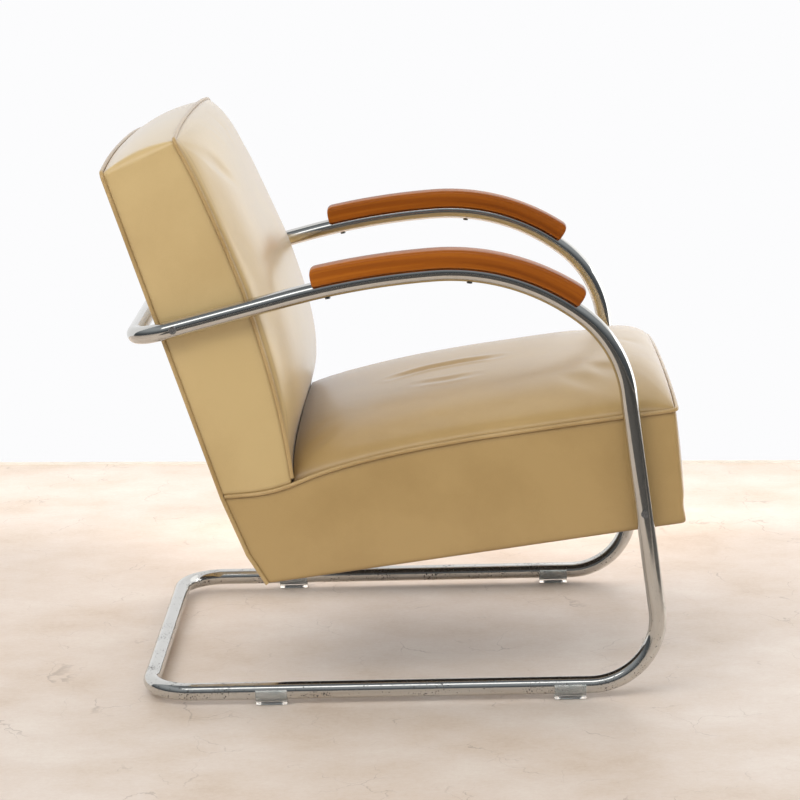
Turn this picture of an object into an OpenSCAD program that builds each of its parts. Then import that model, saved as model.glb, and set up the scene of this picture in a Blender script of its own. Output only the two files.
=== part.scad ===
// A cantilever lounge chair: one bent steel tube carries an upholstered seat and back.
// Front is +X, up is +Z and the sitter's left is +Y. The feet stand on z = 0.

/* [Tube frame] */
// Outer diameter of the steel tube
tube_diameter = 25; // [20:0.5:32]
// Wall thickness of the tube
tube_wall = 2; // [1.5:0.25:3]
// Distance between the two sides of the tube, centre to centre
frame_width = 575; // [520:5:680]
// Height of the underside of the tube above the floor
floor_gap = 7; // [5:0.5:12]
// Place of the lower bend centre in front of the middle of the chair
bend_place = 264.6; // [200:0.1:320]
// Radius of the lower front bends, at the tube centre
lower_bend_radius = 97; // [70:1:130]
// Lean of the front legs from upright, in degrees
leg_lean = 7; // [3:0.5:12]
// Straight length of the front legs
leg_length = 319; // [260:1:380]
// Radius of the front arc of the arm
front_arc_radius = 168; // [120:1:220]
// Sweep of the front arc, in degrees
front_arc_sweep = 45.2; // [35:0.1:55]
// Radius of the middle arc of the arm
middle_arc_radius = 305; // [240:1:380]
// Sweep of the middle arc, in degrees
middle_arc_sweep = 41; // [32:0.1:50]
// Radius of the long rear arc of the arm
rear_arc_radius = 1080; // [800:5:1400]
// Sweep of the rear arc, in degrees
rear_arc_sweep = 10.8; // [6:0.1:15]
// Distance of the rear corner of the arm behind the bolt in the back
arm_past_bolt = 10.3; // [4:0.1:60]
// Radius of the corner bends behind the back
arm_corner_radius = 50; // [40:1:60]
// Straight length of each floor runner
runner_length = 569; // [480:1:640]
// Radius of the two floor corners
floor_corner_radius = 65; // [45:1:90]
// Length of the sleeve inside the floor bar
sleeve_length = 110; // [60:1:160]
// Wall thickness of the sleeve
sleeve_wall = 1.8; // [1.2:0.1:3]
// Distance of each sleeve pin from the seam
sleeve_pin_place = 30; // [15:1:45]
// Diameter of the sleeve pins
sleeve_pin_diameter = 4; // [3:0.5:6]

/* [Arm pads] */
// Width of the wooden arm pads
pad_width = 36; // [30:1:50]
// Thickness of the arm pads
pad_thickness = 25; // [20:0.5:32]
// Height of the pad underside above the tube centre
pad_lift = 8; // [5:0.5:10]
// Corner radius along the top edges of the pads
pad_top_radius = 5; // [3:0.5:8]
// Corner radius along the bottom edges of the pads
pad_bottom_radius = 2.5; // [1:0.5:4]
// Radius of the rounded pad ends, seen from the side
pad_end_radius = 9; // [4:0.5:12]
// Angle on the middle arc where the pad ends at the front
pad_front_angle = 54.5; // [50:0.5:65]
// Angle on the rear arc where the pad ends at the rear
pad_rear_angle = 102.1; // [98:0.1:103.5]
// Angle on the middle arc of the front pad screw
pad_screw_front_angle = 83.6; // [75:0.1:90]
// Angle on the rear arc of the rear pad screw
pad_screw_rear_angle = 101.2; // [96:0.1:101.5]
// Diameter of the pad screw heads
pad_screw_head = 8; // [6:0.5:10]
// Diameter of the pad screw shanks
pad_screw_shank = 4; // [3:0.5:5]
// Depth of the pad screws in the wood
pad_screw_depth = 13; // [8:0.5:16]

/* [Glides] */
// Length of the clip-on glides
glide_length = 45; // [30:1:60]
// Wall thickness of the clip around the tube
glide_wall = 2.8; // [2:0.1:4]
// Width of the glide foot
glide_foot_width = 18; // [14:0.5:24]
// Place of the front glides in front of the middle of the chair
front_glide_place = 236; // [180:1:250]
// Place of the rear glides behind the middle of the chair
rear_glide_place = 191; // [150:1:260]
// Length of the pad in the glide foot
insert_length = 32; // [20:1:40]
// Width of the pad in the glide foot
insert_width = 12.6; // [8:0.2:14]
// Thickness of the pad in the glide foot
insert_thickness = 2.2; // [1.5:0.1:3]
// How far the pad stands out of the foot
insert_proud = 0.8; // [0.4:0.1:1.2]

/* [Upholstered body] */
// Gap between the tube and the body on each side
body_gap = 7; // [4:0.5:15]
// Tilt of the seat, in degrees
seat_tilt = 7.4; // [3:0.1:12]
// Depth of the seat along its bottom edge
seat_depth = 605; // [500:5:700]
// Height of the seat sides up to the piping
seat_height = 166; // [140:2:200]
// Height of the seat crown over the piping
seat_crown = 51; // [20:1:70]
// Rise of the front seat edge at its middle
seat_front_rise = 12; // [0:1:20]
// Length over which the crown rolls down to the front
seat_front_roll = 72; // [40:1:140]
// How far the front piping stands in front of the bottom edge
front_lean = 7; // [0:0.5:12]
// How far the front piping bows forward at its middle
front_bow = 1.5; // [0:0.5:8]
// Bulge of the front border
front_bulge = 7; // [2:0.5:14]
// Tilt of the back from upright, in degrees
back_tilt = 17.7; // [10:0.1:26]
// Length of the back above the seat
back_length = 500; // [400:5:600]
// Depth of the back sides at their widest place
back_depth = 133; // [100:1:160]
// Height of the back crown in front of the piping
back_crown = 44; // [20:1:70]
// Rise of the top edge of the back at its middle
back_top_rise = 10; // [0:1:25]
// Drop of the top of the back from its front edge to its rear edge
back_top_drop = 11; // [0:1:30]
// Length over which the back crown rolls to the top
back_top_roll = 52; // [20:1:80]
// Thickness of the side covers with their wadding
side_cover_thickness = 4; // [2:0.5:6]
// Thickness of the top and front covers
top_cover_thickness = 2; // [1:0.5:4]
// Thickness of the rear panel
rear_panel_thickness = 2.6; // [1:0.2:5]
// Thickness of the dust cover
dust_cover_thickness = 1; // [0.5:0.25:2]
// Diameter of the piping
piping_diameter = 6; // [4:0.5:8]
// How far the piping stands out of the side covers
piping_stand_out = 2.6; // [1:0.1:4]
// Bend radius of the piping at the corners
piping_corner = 8; // [5:0.5:20]
// Clearance between soft pieces
soft_gap = 0.3; // [0.2:0.05:1]
// Distance of the foot of the back's front edge from the rear of the seat
tuck_place = 62.9; // [45:0.1:90]
// Clearance between the seat and the back where they meet
tuck_gap = 6; // [2:0.5:10]

/* [Wooden frame] */
// Thickness of the side rails and stiles, across the chair
rail_thickness = 22; // [18:1:30]
// Height of the seat rails
rail_height = 85; // [60:1:95]
// Width of the back stiles
stile_width = 45; // [35:1:60]
// Height of the back rails
back_rail_height = 45; // [35:1:70]
// Leg length of the glued corner blocks
corner_block_size = 42; // [30:1:55]

/* [Springs and webbing] */
// Width of the webbing straps
strap_width = 50; // [35:1:70]
// Thickness of the webbing straps
strap_thickness = 2.5; // [1.5:0.25:4]
// Thickness of the hessian over the springs
hessian_thickness = 1; // [0.5:0.25:2]
// Diameter of the spring ends
spring_diameter = 84; // [60:1:100]
// Diameter of the spring waist
spring_waist = 54; // [35:1:80]
// Diameter of the spring wire
spring_wire = 3.6; // [2:0.2:5]
// Distance between neighbouring springs
spring_pitch = 140; // [110:1:170]

/* [Fastenings] */
// Diameter of the bolts that hold the body
bolt_diameter = 6; // [5:0.5:8]
// Diameter of the bolt heads
bolt_head_diameter = 11; // [9:0.5:14]
// Height of the bolt heads
bolt_head_height = 2.4; // [1.5:0.1:4]
// Width of the slots in bolt and screw heads
slot_width = 1.4; // [0.8:0.1:2]
// Clearance of the holes over the bolts and pins, in diameter
hole_clearance = 0.4; // [0.2:0.1:1]
// Diameter of the spacers between the tube and the body
spacer_diameter = 16; // [12:1:22]
// Height of the leg bolt above the start of the straight leg
leg_bolt_height = 146; // [110:1:180]
// Distance of the leg bolt behind the front of the seat
leg_bolt_setback = 58; // [45:1:80]
// Height of the leg bolt above the bottom of the seat
leg_bolt_rise = 31; // [20:1:45]
// Thickness of the washers
washer_thickness = 1.6; // [1:0.1:2.5]
// Outer diameter of the washers
washer_diameter = 18; // [14:1:24]
// Height of the nuts
nut_height = 5; // [4:0.5:7]
// Width of the nuts across their corners
nut_width = 11.5; // [10:0.5:14]
// Diameter of the tack heads on the rear panel
tack_head = 3.4; // [2.5:0.1:5]
// Height of the tack heads
tack_head_height = 0.8; // [0.5:0.1:1.5]
// Length of the tack shanks
tack_length = 10; // [6:0.5:14]
// Distance between neighbouring tacks
tack_pitch = 40; // [30:1:80]
// Distance of the tacks from the edge of the rear panel
tack_inset = 4.5; // [3:0.5:8]

/* [Hidden] */
// Facets of the tube, of larger round pieces and of small ones
tube_facets = 48;
arc_facets = 96;
small_facets = 24;
// One overrun serves every cut
overrun = 1;
// Neighbouring lengths of bent tube stop a hairline apart and are joined by a key inside the wall
hairline = 0.02;
key_length = 2;
// Colours
chrome_color = "silver";
wood_color = "sienna";
beech_color = "burlywood";
leather_color = "tan";
plastic_color = "lightgray";

// Tube values
tube_radius = tube_diameter / 2;
half_frame = frame_width / 2;
runner_height = floor_gap + tube_radius;
bolt_hole = bolt_diameter + hole_clearance;

// The side view of the tube is a chain of arcs. A place is [x, z].
function polar(centre, radius, angle) = centre + radius * [cos(angle), sin(angle)];
bend_centre = [bend_place, runner_height + lower_bend_radius];
leg_foot = polar(bend_centre, lower_bend_radius, leg_lean);
leg_top = leg_foot + leg_length * [-sin(leg_lean), cos(leg_lean)];
front_centre = polar(leg_top, front_arc_radius, 180 + leg_lean);
front_angle = leg_lean + front_arc_sweep;
front_end = polar(front_centre, front_arc_radius, front_angle);
middle_centre = polar(front_end, middle_arc_radius, 180 + front_angle);
middle_angle = front_angle + middle_arc_sweep;
middle_end = polar(middle_centre, middle_arc_radius, middle_angle);
rear_centre = polar(middle_end, rear_arc_radius, 180 + middle_angle);
rear_angle = middle_angle + rear_arc_sweep;
arm_start = polar(rear_centre, rear_arc_radius, rear_angle);
arm_direction = [-sin(rear_angle), cos(rear_angle)];
runner_end = bend_place - runner_length;

// The body has two leaning frames of its own: seat places are [along, up] from its rear bottom edge,
// back places are [up, forward] from the foot of its rear face.
function turned(place, angle) =
    [place[0] * cos(angle) - place[1] * sin(angle), place[0] * sin(angle) + place[1] * cos(angle)];
leg_bolt = leg_foot + leg_bolt_height * [-sin(leg_lean), cos(leg_lean)];
body_origin = leg_bolt - turned([seat_depth - leg_bolt_setback, leg_bolt_rise], seat_tilt);
function seat_place(along, up) = body_origin + turned([along, up], seat_tilt);

// Rear edge of the seat, as shares of the seat height
rear_edge_shares = [[0, 0], [-0.122, 0.28], [-0.255, 0.8]];
function rear_edge(index, inset) =
    seat_place(rear_edge_shares[index][0] * seat_height + inset, rear_edge_shares[index][1] * seat_height);
back_origin = rear_edge(2, 0);
function back_place(up, forward) = back_origin + turned([forward, up], back_tilt);

// Piping line on the seat sides: share of the depth, then share of the height
seat_line_shares = [
    [-0.1, 0.82], [-0.057, 0.822], [0, 0.797], [0.05, 0.8], [0.1, 0.83], [0.15, 0.884],
    [0.22, 0.928], [0.31, 0.966], [0.41, 0.992], [0.55, 1.006], [0.78, 1.004], [1, 0.995], [1.1, 0.99],
];
// Piping line on the back sides: share of the length, then share of the depth
back_line_shares = [
    [-0.1, 0.71], [-0.015, 0.795], [0.1, 0.875], [0.2, 0.925], [0.32, 0.965], [0.45, 0.987],
    [0.55, 0.998], [0.68, 0.975], [0.8, 0.945], [0.9, 0.912], [1, 0.853], [1.1, 0.79],
];
// Crown of the back from its foot to its top: share of the length, then share of the crown
back_crown_shares = [
    [-0.1, 0], [-0.012, 0], [0.05, 0.34], [0.1, 0.58], [0.15, 0.76], [0.21, 0.89],
    [0.28, 0.97], [0.4, 1], [0.5, 0.96], [0.6, 0.88], [0.75, 0.8], [0.9, 0.73], [1.1, 0.7],
];
smooth_share = 0.035;
function smoothed(table, share) =
    (lookup(share - smooth_share, table) + 2 * lookup(share, table) + lookup(share + smooth_share, table)) / 4;
function seat_line(along) = seat_height * smoothed(seat_line_shares, along / seat_depth);
function back_line(up) = back_depth * smoothed(back_line_shares, up / back_length);

// Body values
half_body = half_frame - tube_radius - body_gap;
half_core = half_body - side_cover_thickness;
piping_radius = piping_diameter / 2;
piping_side = half_body - piping_radius + piping_stand_out;
piping_room = piping_radius + soft_gap;
front_plane = seat_depth - side_cover_thickness;
top_front = seat_depth + front_lean;
core_front = front_plane + front_lean;
webbing_top = dust_cover_thickness + 2 * strap_thickness;
rail_top = webbing_top + rail_height;
hessian_top = rail_top + hessian_thickness;
stile_front = rear_panel_thickness + stile_width;
back_foot_share = -0.012;
back_foot = back_foot_share * back_length;
back_webbing_front = stile_front + 2 * strap_thickness;
function back_top(forward) = back_length - back_top_drop * (1 - forward / (back_depth * back_line_shares[10][1]));
core_top = back_top(stile_front) - side_cover_thickness - soft_gap;
core_gap = 2 * soft_gap;

// The seat and the back meet on a leaning plane that starts at the foot of the front piping
tuck_lean_share = 0.408;
function tuck_line(up) =
    tuck_place + tuck_gap + (up - seat_line(tuck_place)) * tuck_lean_share;

// Where the arm runs over the middle of the stile
stile_middle = rear_panel_thickness + stile_width / 2;
stile_start = back_place(0, stile_middle);
stile_direction = turned([0, 1], back_tilt);
function crossing(a, along, b, beside) =
    a + along * ((b[0] - a[0]) * beside[1] - (b[1] - a[1]) * beside[0])
        / (along[0] * beside[1] - along[1] * beside[0]);
arm_bolt = crossing(arm_start, arm_direction, stile_start, stile_direction);
arm_end = arm_bolt + arm_past_bolt * arm_direction;
bar_place = arm_end + arm_corner_radius * arm_direction;

// Grids for the crowned covers: counts along and across
rows = 14;
columns = 14;
function spread(column) = sin(90 * (2 * column / columns - 1));
function hump(side) = pow(1 - pow(abs(side), 3), 0.6);
function roll(share) = share >= 1 ? 1 : pow(max(0, 1 - pow(1 - share, 2.2)), 0.6);
function arch(across) = 1 - pow(abs(across / half_body), 2.5);
function long_share(row) = sin(90 * row / rows);
function in_space(place, across) = [place[0], across, place[1]];

// Seat cover surface, from the tuck plane to the front edge
function seat_up(along, side, lift) =
    seat_line(along) + lift + seat_front_rise * arch(side * half_core) * pow(max(0, along / seat_depth), 14)
        + seat_crown * hump(side) * roll((top_front - along) / seat_front_roll);
function seat_grid(half, lift, front) = [
    for (row = [0:rows])
        for (column = [0:columns])
            let (side = spread(column), rear = tuck_line(seat_up(tuck_line(seat_height), side, lift)),
                 edge = front + front_bow * arch(side * half), along = rear + (edge - rear) * long_share(row),
                 up = row == rows ? seat_line(along) + lift + seat_front_rise * arch(side * half)
                     : seat_up(along, side, lift))
                in_space(seat_place(along, up), half * side)
];
function seat_floor_grid(half, front) = [
    for (row = [0:rows])
        for (column = [0:columns])
            let (side = spread(column), rear = tuck_line(hessian_top), up = hessian_top + soft_gap / 2)
                in_space(seat_place(rear + (front - rear) * long_share(row), up), half * side)
];

// Back cover surface, from the top edge down to the foot
function back_forward(up, side, lift) =
    back_line(up) + lift
        + back_crown * hump(side) * smoothed(back_crown_shares, up / back_length)
            * roll((back_length - up) / back_top_roll);
function back_share(row) = cos(90 * row / rows);
function back_up(row, top, side) =
    back_foot + (top - back_foot) * back_share(row)
        + back_top_rise * arch(side * half_core) * pow(back_share(row), 4);
function back_grid(half, lift, top) = [
    for (row = [0:rows])
        for (column = [0:columns])
            let (side = spread(column), flat_up = back_foot + (top - back_foot) * back_share(row),
                 forward = row == 0 ? back_line(flat_up) + lift : back_forward(flat_up, side, lift))
                in_space(back_place(back_up(row, top, side), forward), half * side)
];
function back_floor_grid(half, top) = [
    for (row = [0:rows])
        for (column = [0:columns])
            let (side = spread(column))
                in_space(back_place(back_up(row, top, side), back_webbing_front + soft_gap / 2), half * side)
];

// Front border surface, from its top edge down to the bottom
border_rows = 8;
function border_grid(forward, bulge) = [
    for (row = [0:border_rows])
        for (column = [0:columns])
            let (side = spread(column), across = side * half_body, share = 1 - row / border_rows,
                 top = seat_line(seat_depth) - piping_room + seat_front_rise * arch(across),
                 along = forward + (front_lean + front_bow * arch(across)) * share
                     + bulge * hump(side) * pow(sin(180 * share), 0.7))
                in_space(seat_place(along, top * share), across)
];

// A closed slab between two grids of the same counts
module slab(outer, inner, long_count, cross_count) {
    step = cross_count + 1;
    base = (long_count + 1) * step;
    face_pairs = [
        for (i = [0:long_count - 1])
            for (j = [0:cross_count - 1])
                let (a = i * step + j, b = a + step, c = b + 1, d = a + 1)
                    for (face = [[a, d, c], [a, c, b], [base + a, base + c, base + d],
                                 [base + a, base + b, base + c]])
                        face
    ];
    side_walls = [
        for (i = [0:long_count - 1])
            let (a = i * step, b = a + step, e = a + cross_count, f = b + cross_count)
                for (face = [[a, b, base + b], [a, base + b, base + a],
                             [e, base + f, f], [e, base + e, base + f]])
                    face
    ];
    end_walls = [
        for (j = [0:cross_count - 1])
            let (a = j, d = a + 1, b = long_count * step + j, c = b + 1)
                for (face = [[d, a, base + a], [d, base + a, base + d],
                             [c, base + b, b], [c, base + c, base + b]])
                    face
    ];
    polyhedron(points = concat(outer, inner), faces = concat(face_pairs, side_walls, end_walls), convexity = 6);
}

// A round cord along a list of places, with one direction that its section keeps to
function unit(v) = v / norm(v);
function heading(route, i) =
    unit(route[min(i + 1, len(route) - 1)] - route[max(i - 1, 0)]);
module cord(route, radius, keep, sides) {
    points = [
        for (i = [0:len(route) - 1])
            let (ahead = heading(route, i), up = unit(keep - (keep * ahead) * ahead), across = cross(up, ahead))
                for (k = [0:sides - 1])
                    route[i] + radius * (cos(90 + 360 * k / sides) * across + sin(90 + 360 * k / sides) * up)
    ];
    skin = [
        for (i = [0:len(route) - 2])
            for (k = [0:sides - 1])
                let (a = i * sides + k, b = i * sides + (k + 1) % sides, c = b + sides, d = a + sides)
                    for (face = [[a, d, c], [a, c, b]])
                        face
    ];
    last = (len(route) - 1) * sides;
    caps = [[for (k = [0:sides - 1]) k], [for (k = [0:sides - 1]) last + sides - 1 - k]];
    polyhedron(points = points, faces = concat(skin, caps), convexity = 8);
}

// Pieces of bare or hollow tube in the side view
module tube_ring() {
    difference() {
        circle(r = tube_radius, $fn = tube_facets);
        circle(r = tube_radius - tube_wall, $fn = tube_facets);
    }
}
module arc_in_side(centre, radius, from_angle, sweep) {
    translate(in_space(centre, 0))
        rotate([90, 0, 0])
            rotate_extrude(angle = sweep - 180 * hairline / (PI * radius), start = from_angle, $fn = arc_facets)
                translate([radius, 0])
                    children();
}
module straight_in_side(from, to) {
    translate(in_space(from, 0))
        rotate([0, atan2(to[0] - from[0], to[1] - from[1]), 0])
            linear_extrude(norm(to - from) - hairline)
                children();
}
module key_body() {
    linear_extrude(key_length, center = true)
        difference() {
            circle(r = tube_radius - tube_wall / 4, $fn = tube_facets);
            circle(r = tube_radius - tube_wall * 3 / 4, $fn = tube_facets);
        }
}
module wall_key(place, angle) {
    translate(in_space(place, 0))
        rotate([0, -angle, 0])
            key_body();
}
module along_x(from, to, across, height) {
    translate([from, across, height])
        rotate([0, 90, 0])
            linear_extrude(to - from)
                children();
}
module rod_y(place, from, to, radius, facets) {
    translate([place[0], to, place[1]])
        rotate([90, 0, 0])
            cylinder(h = to - from, r = radius, $fn = facets);
}
// Everything on one side is drawn on the left and mirrored for the right
module right() {
    mirror([0, 1, 0])
        children();
}
module both() {
    children();
    right()
        children();
}

module floor_half() {
    difference() {
        union() {
            along_x(runner_end, bend_place, half_frame, runner_height)
                tube_ring();
            translate([runner_end, half_frame - floor_corner_radius, runner_height])
                rotate_extrude(angle = 90, start = 90, $fn = arc_facets)
                    translate([floor_corner_radius, 0])
                        tube_ring();
            translate([runner_end - floor_corner_radius, half_frame - floor_corner_radius, runner_height])
                rotate([90, 0, 0])
                    linear_extrude(half_frame - floor_corner_radius)
                        tube_ring();
        }
        floor_pin_bodies(overrun, hole_clearance / 4);
    }
}
module floor_pin_bodies(extra, clearance) {
    for (across = [-sleeve_pin_place, sleeve_pin_place])
        translate([runner_end - floor_corner_radius, across, floor_gap - extra])
            cylinder(h = tube_radius + 2 * extra, r = sleeve_pin_diameter / 2 + clearance, $fn = small_facets);
}
module floor_tube_left() {
    color(chrome_color)
        floor_half();
}
module floor_tube_right() {
    color(chrome_color)
        right()
            floor_half();
}
module floor_sleeve() {
    sleeve_radius = tube_radius - tube_wall - hole_clearance / 4;
    color(chrome_color)
        difference() {
            translate([runner_end - floor_corner_radius, sleeve_length / 2, runner_height])
                rotate([90, 0, 0])
                    linear_extrude(sleeve_length)
                        difference() {
                            circle(r = sleeve_radius, $fn = tube_facets);
                            circle(r = sleeve_radius - sleeve_wall, $fn = tube_facets);
                        }
            floor_pin_bodies(overrun, hole_clearance / 4);
        }
}
module floor_pins() {
    color(chrome_color)
        for (across = [-sleeve_pin_place, sleeve_pin_place])
            translate([runner_end - floor_corner_radius, across, floor_gap])
                cylinder(h = tube_wall + sleeve_wall + sleeve_pin_diameter / 2, r = sleeve_pin_diameter / 2,
                         $fn = small_facets);
}
module bend_half() {
    translate([0, half_frame, 0])
        arc_in_side(bend_centre, lower_bend_radius, -90, 90 + leg_lean)
            tube_ring();
}
module front_bend_left() {
    color(chrome_color)
        bend_half();
}
module front_bend_right() {
    color(chrome_color)
        right()
            bend_half();
}

// Places and directions of the pad screws, on the centre line of the arm
pad_screw_places = [
    [polar(middle_centre, middle_arc_radius, pad_screw_front_angle), pad_screw_front_angle],
    [polar(rear_centre, rear_arc_radius, pad_screw_rear_angle), pad_screw_rear_angle],
];
module pad_screw_shanks(radius, extra) {
    for (entry = pad_screw_places)
        translate([entry[0][0], half_frame, entry[0][1]])
            rotate([0, 90 - entry[1], 0])
                translate([0, 0, -tube_radius - extra])
                    cylinder(h = tube_radius + extra + pad_lift + pad_screw_depth + extra, r = radius,
                             $fn = small_facets);
}
module arm_side() {
    difference() {
        translate([0, half_frame, 0]) {
            straight_in_side(leg_foot, leg_top)
                tube_ring();
            arc_in_side(front_centre, front_arc_radius, leg_lean, front_arc_sweep)
                tube_ring();
            arc_in_side(middle_centre, middle_arc_radius, front_angle, middle_arc_sweep)
                tube_ring();
            arc_in_side(rear_centre, rear_arc_radius, middle_angle, rear_arc_sweep)
                tube_ring();
            straight_in_side(arm_end, arm_start)
                tube_ring();
            wall_key(leg_top, leg_lean);
            wall_key(front_end, front_angle);
            wall_key(middle_end, middle_angle);
            wall_key(arm_start, rear_angle);
            wall_key(arm_end, rear_angle);
        }
        for (place = [leg_bolt, arm_bolt])
            rod_y(place, half_body, half_frame + tube_diameter, bolt_hole / 2, small_facets);
        pad_screw_shanks((pad_screw_shank + hole_clearance) / 2, overrun);
    }
}
module upper_tube() {
    slit = 180 * hairline / (PI * arm_corner_radius);
    color(chrome_color) {
        both() {
            arm_side();
            translate([arm_end[0], half_frame - arm_corner_radius, arm_end[1]])
                rotate([0, 90 - rear_angle, 0])
                    rotate_extrude(angle = 90 - 2 * slit, start = 90 + slit, $fn = arc_facets)
                        translate([arm_corner_radius, 0])
                            tube_ring();
            translate([bar_place[0], half_frame - arm_corner_radius, bar_place[1]])
                rotate([90, 0, 0])
                    key_body();
        }
        translate([bar_place[0], half_frame - arm_corner_radius, bar_place[1]])
            rotate([90, 0, 0])
                linear_extrude(frame_width - 2 * arm_corner_radius)
                    tube_ring();
    }
}

// Pad section: x is the distance from the arc's centre, y is across the chair
module pad_section() {
    low = pad_lift;
    high = pad_lift + pad_thickness;
    half = pad_width / 2;
    difference() {
        union() {
            translate([low + pad_bottom_radius, -half])
                square([pad_thickness - pad_bottom_radius - pad_top_radius, pad_width]);
            translate([low, pad_bottom_radius - half])
                square([pad_bottom_radius + overrun, pad_width - 2 * pad_bottom_radius]);
            translate([high - pad_top_radius - overrun, pad_top_radius - half])
                square([pad_top_radius + overrun, pad_width - 2 * pad_top_radius]);
            for (turn = [-1, 1]) {
                translate([low + pad_bottom_radius, turn * (half - pad_bottom_radius)])
                    circle(r = pad_bottom_radius, $fn = small_facets);
                translate([high - pad_top_radius, turn * (half - pad_top_radius)])
                    circle(r = pad_top_radius, $fn = small_facets);
            }
        }
        circle(r = tube_radius + soft_gap / 4, $fn = tube_facets);
    }
}
// Cuts that round the upper corner of a pad end, at an angle of an arc
module pad_end_cut(centre, radius, angle, way) {
    high = radius + pad_lift + pad_thickness;
    translate(in_space(centre, 0))
        rotate([0, -angle, 0])
            translate([high - pad_end_radius, 0, way * -pad_end_radius])
                difference() {
                    translate([0, -pad_width, way > 0 ? 0 : -pad_end_radius - overrun])
                        cube([pad_end_radius + overrun, 2 * pad_width, pad_end_radius + overrun]);
                    rotate([90, 0, 0])
                        cylinder(h = 3 * pad_width, r = pad_end_radius, center = true, $fn = tube_facets);
                }
}
module pad_half() {
    difference() {
        translate([0, half_frame, 0])
            difference() {
                union() {
                    translate(in_space(middle_end + (pad_lift + pad_thickness / 2)
                                       * [cos(middle_angle), sin(middle_angle)], 0))
                        rotate([0, -middle_angle, 0])
                            cube([pad_thickness / 2, pad_width / 2, key_length], center = true);
                    arc_in_side(middle_centre, middle_arc_radius, pad_front_angle, middle_angle - pad_front_angle)
                        pad_section();
                    arc_in_side(rear_centre, rear_arc_radius, middle_angle, pad_rear_angle - middle_angle)
                        pad_section();
                }
                pad_end_cut(middle_centre, middle_arc_radius, pad_front_angle, -1);
                pad_end_cut(rear_centre, rear_arc_radius, pad_rear_angle, 1);
            }
        pad_screw_shanks(pad_screw_shank / 2 + soft_gap / 4, 0);
    }
}
module arm_pad_left() {
    color(wood_color)
        pad_half();
}
module arm_pad_right() {
    color(wood_color)
        right()
            pad_half();
}
module pad_screws() {
    color(chrome_color)
        both() {
            pad_screw_shanks(pad_screw_shank / 2, 0);
            for (entry = pad_screw_places)
                translate([entry[0][0], half_frame, entry[0][1]])
                    rotate([0, 90 - entry[1], 0])
                        translate([0, 0, -tube_radius - pad_screw_shank / 2])
                            difference() {
                                cylinder(h = pad_screw_shank / 2, r = pad_screw_head / 2, $fn = small_facets);
                                translate([-pad_screw_head, -slot_width / 2, -overrun])
                                    cube([2 * pad_screw_head, slot_width, overrun + slot_width / 2]);
                            }
        }
}

// Glides, drawn about the runner's centre line with their foot down
module lozenge(length, width, height) {
    for (end = [-1, 1])
        translate([end * (length - width) / 2, 0, 0])
            cylinder(h = height, r = width / 2, $fn = tube_facets);
    translate([-(length - width) / 2, -width / 2, 0])
        cube([length - width, width, height]);
}
module glide_clip() {
    clip_radius = tube_radius + soft_gap / 4 + glide_wall;
    foot_low = insert_proud - runner_height;
    difference() {
        union() {
            along_x(-glide_length / 2, glide_length / 2, 0, 0)
                circle(r = clip_radius, $fn = tube_facets);
            translate([-glide_length / 2, -glide_foot_width / 2, foot_low])
                cube([glide_length, glide_foot_width, tube_radius]);
        }
        along_x(-glide_length, glide_length, 0, 0)
            circle(r = tube_radius + soft_gap / 4, $fn = tube_facets);
        translate([-glide_length, -clip_radius - overrun, tube_radius / 3])
            cube([2 * glide_length, 2 * clip_radius + 2 * overrun, clip_radius]);
        translate([0, 0, foot_low - overrun])
            lozenge(insert_length + soft_gap / 2, insert_width + soft_gap / 2,
                    insert_thickness - insert_proud + overrun);
    }
}
module glide_at(place, across) {
    color(plastic_color)
        translate([place, across, runner_height])
            glide_clip();
}
module insert_at(place, across) {
    color("slategray")
        translate([place, across, 0])
            lozenge(insert_length, insert_width, insert_thickness);
}
module glide_front_right() {
    glide_at(front_glide_place, -half_frame);
}
module glide_front_left() {
    glide_at(front_glide_place, half_frame);
}
module glide_rear_right() {
    glide_at(-rear_glide_place, -half_frame);
}
module glide_rear_left() {
    glide_at(-rear_glide_place, half_frame);
}
module insert_front_right() {
    insert_at(front_glide_place, -half_frame);
}
module insert_front_left() {
    insert_at(front_glide_place, half_frame);
}
module insert_rear_right() {
    insert_at(-rear_glide_place, -half_frame);
}
module insert_rear_left() {
    insert_at(-rear_glide_place, half_frame);
}

// Bolts through the tube, a spacer, the side cover and the wood
bolt_inner = half_core - rail_thickness;
bolt_end = bolt_inner - washer_thickness - nut_height - slot_width;
module bolt_pair(place) {
    head_face = half_frame + tube_radius;
    color("darkgray")
        both() {
            rod_y(place, bolt_end, head_face + slot_width / 2, bolt_diameter / 2, small_facets);
            difference() {
                rod_y(place, head_face, head_face + bolt_head_height, bolt_head_diameter / 2, small_facets);
                translate([place[0] - slot_width / 2, head_face + bolt_head_height / 2,
                           place[1] - bolt_head_diameter])
                    cube([slot_width, bolt_head_height, 2 * bolt_head_diameter]);
            }
        }
}
module seat_bolts() {
    bolt_pair(leg_bolt);
}
module back_bolts() {
    bolt_pair(arm_bolt);
}
module spacer_at(place) {
    difference() {
        rod_y(place, half_body, half_frame, spacer_diameter / 2, tube_facets);
        rod_y(place, half_body - overrun, half_frame + overrun, bolt_hole / 2, small_facets);
        children();
    }
}
module body_spacers() {
    solid_radius = tube_radius + soft_gap / 8;
    color("darkgray")
        both() {
            spacer_at(leg_bolt)
                translate([0, half_frame, 0])
                    straight_in_side(leg_foot, leg_top)
                        circle(r = solid_radius, $fn = tube_facets);
            spacer_at(arm_bolt)
                translate([0, half_frame, 0])
                    straight_in_side(arm_end, arm_start)
                        circle(r = solid_radius, $fn = tube_facets);
        }
}
module body_washers() {
    color("darkgray")
        both()
            for (place = [leg_bolt, arm_bolt])
                difference() {
                    rod_y(place, bolt_inner - washer_thickness, bolt_inner, washer_diameter / 2, tube_facets);
                    rod_y(place, bolt_end, bolt_inner + overrun, bolt_hole / 2, small_facets);
                }
}
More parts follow.
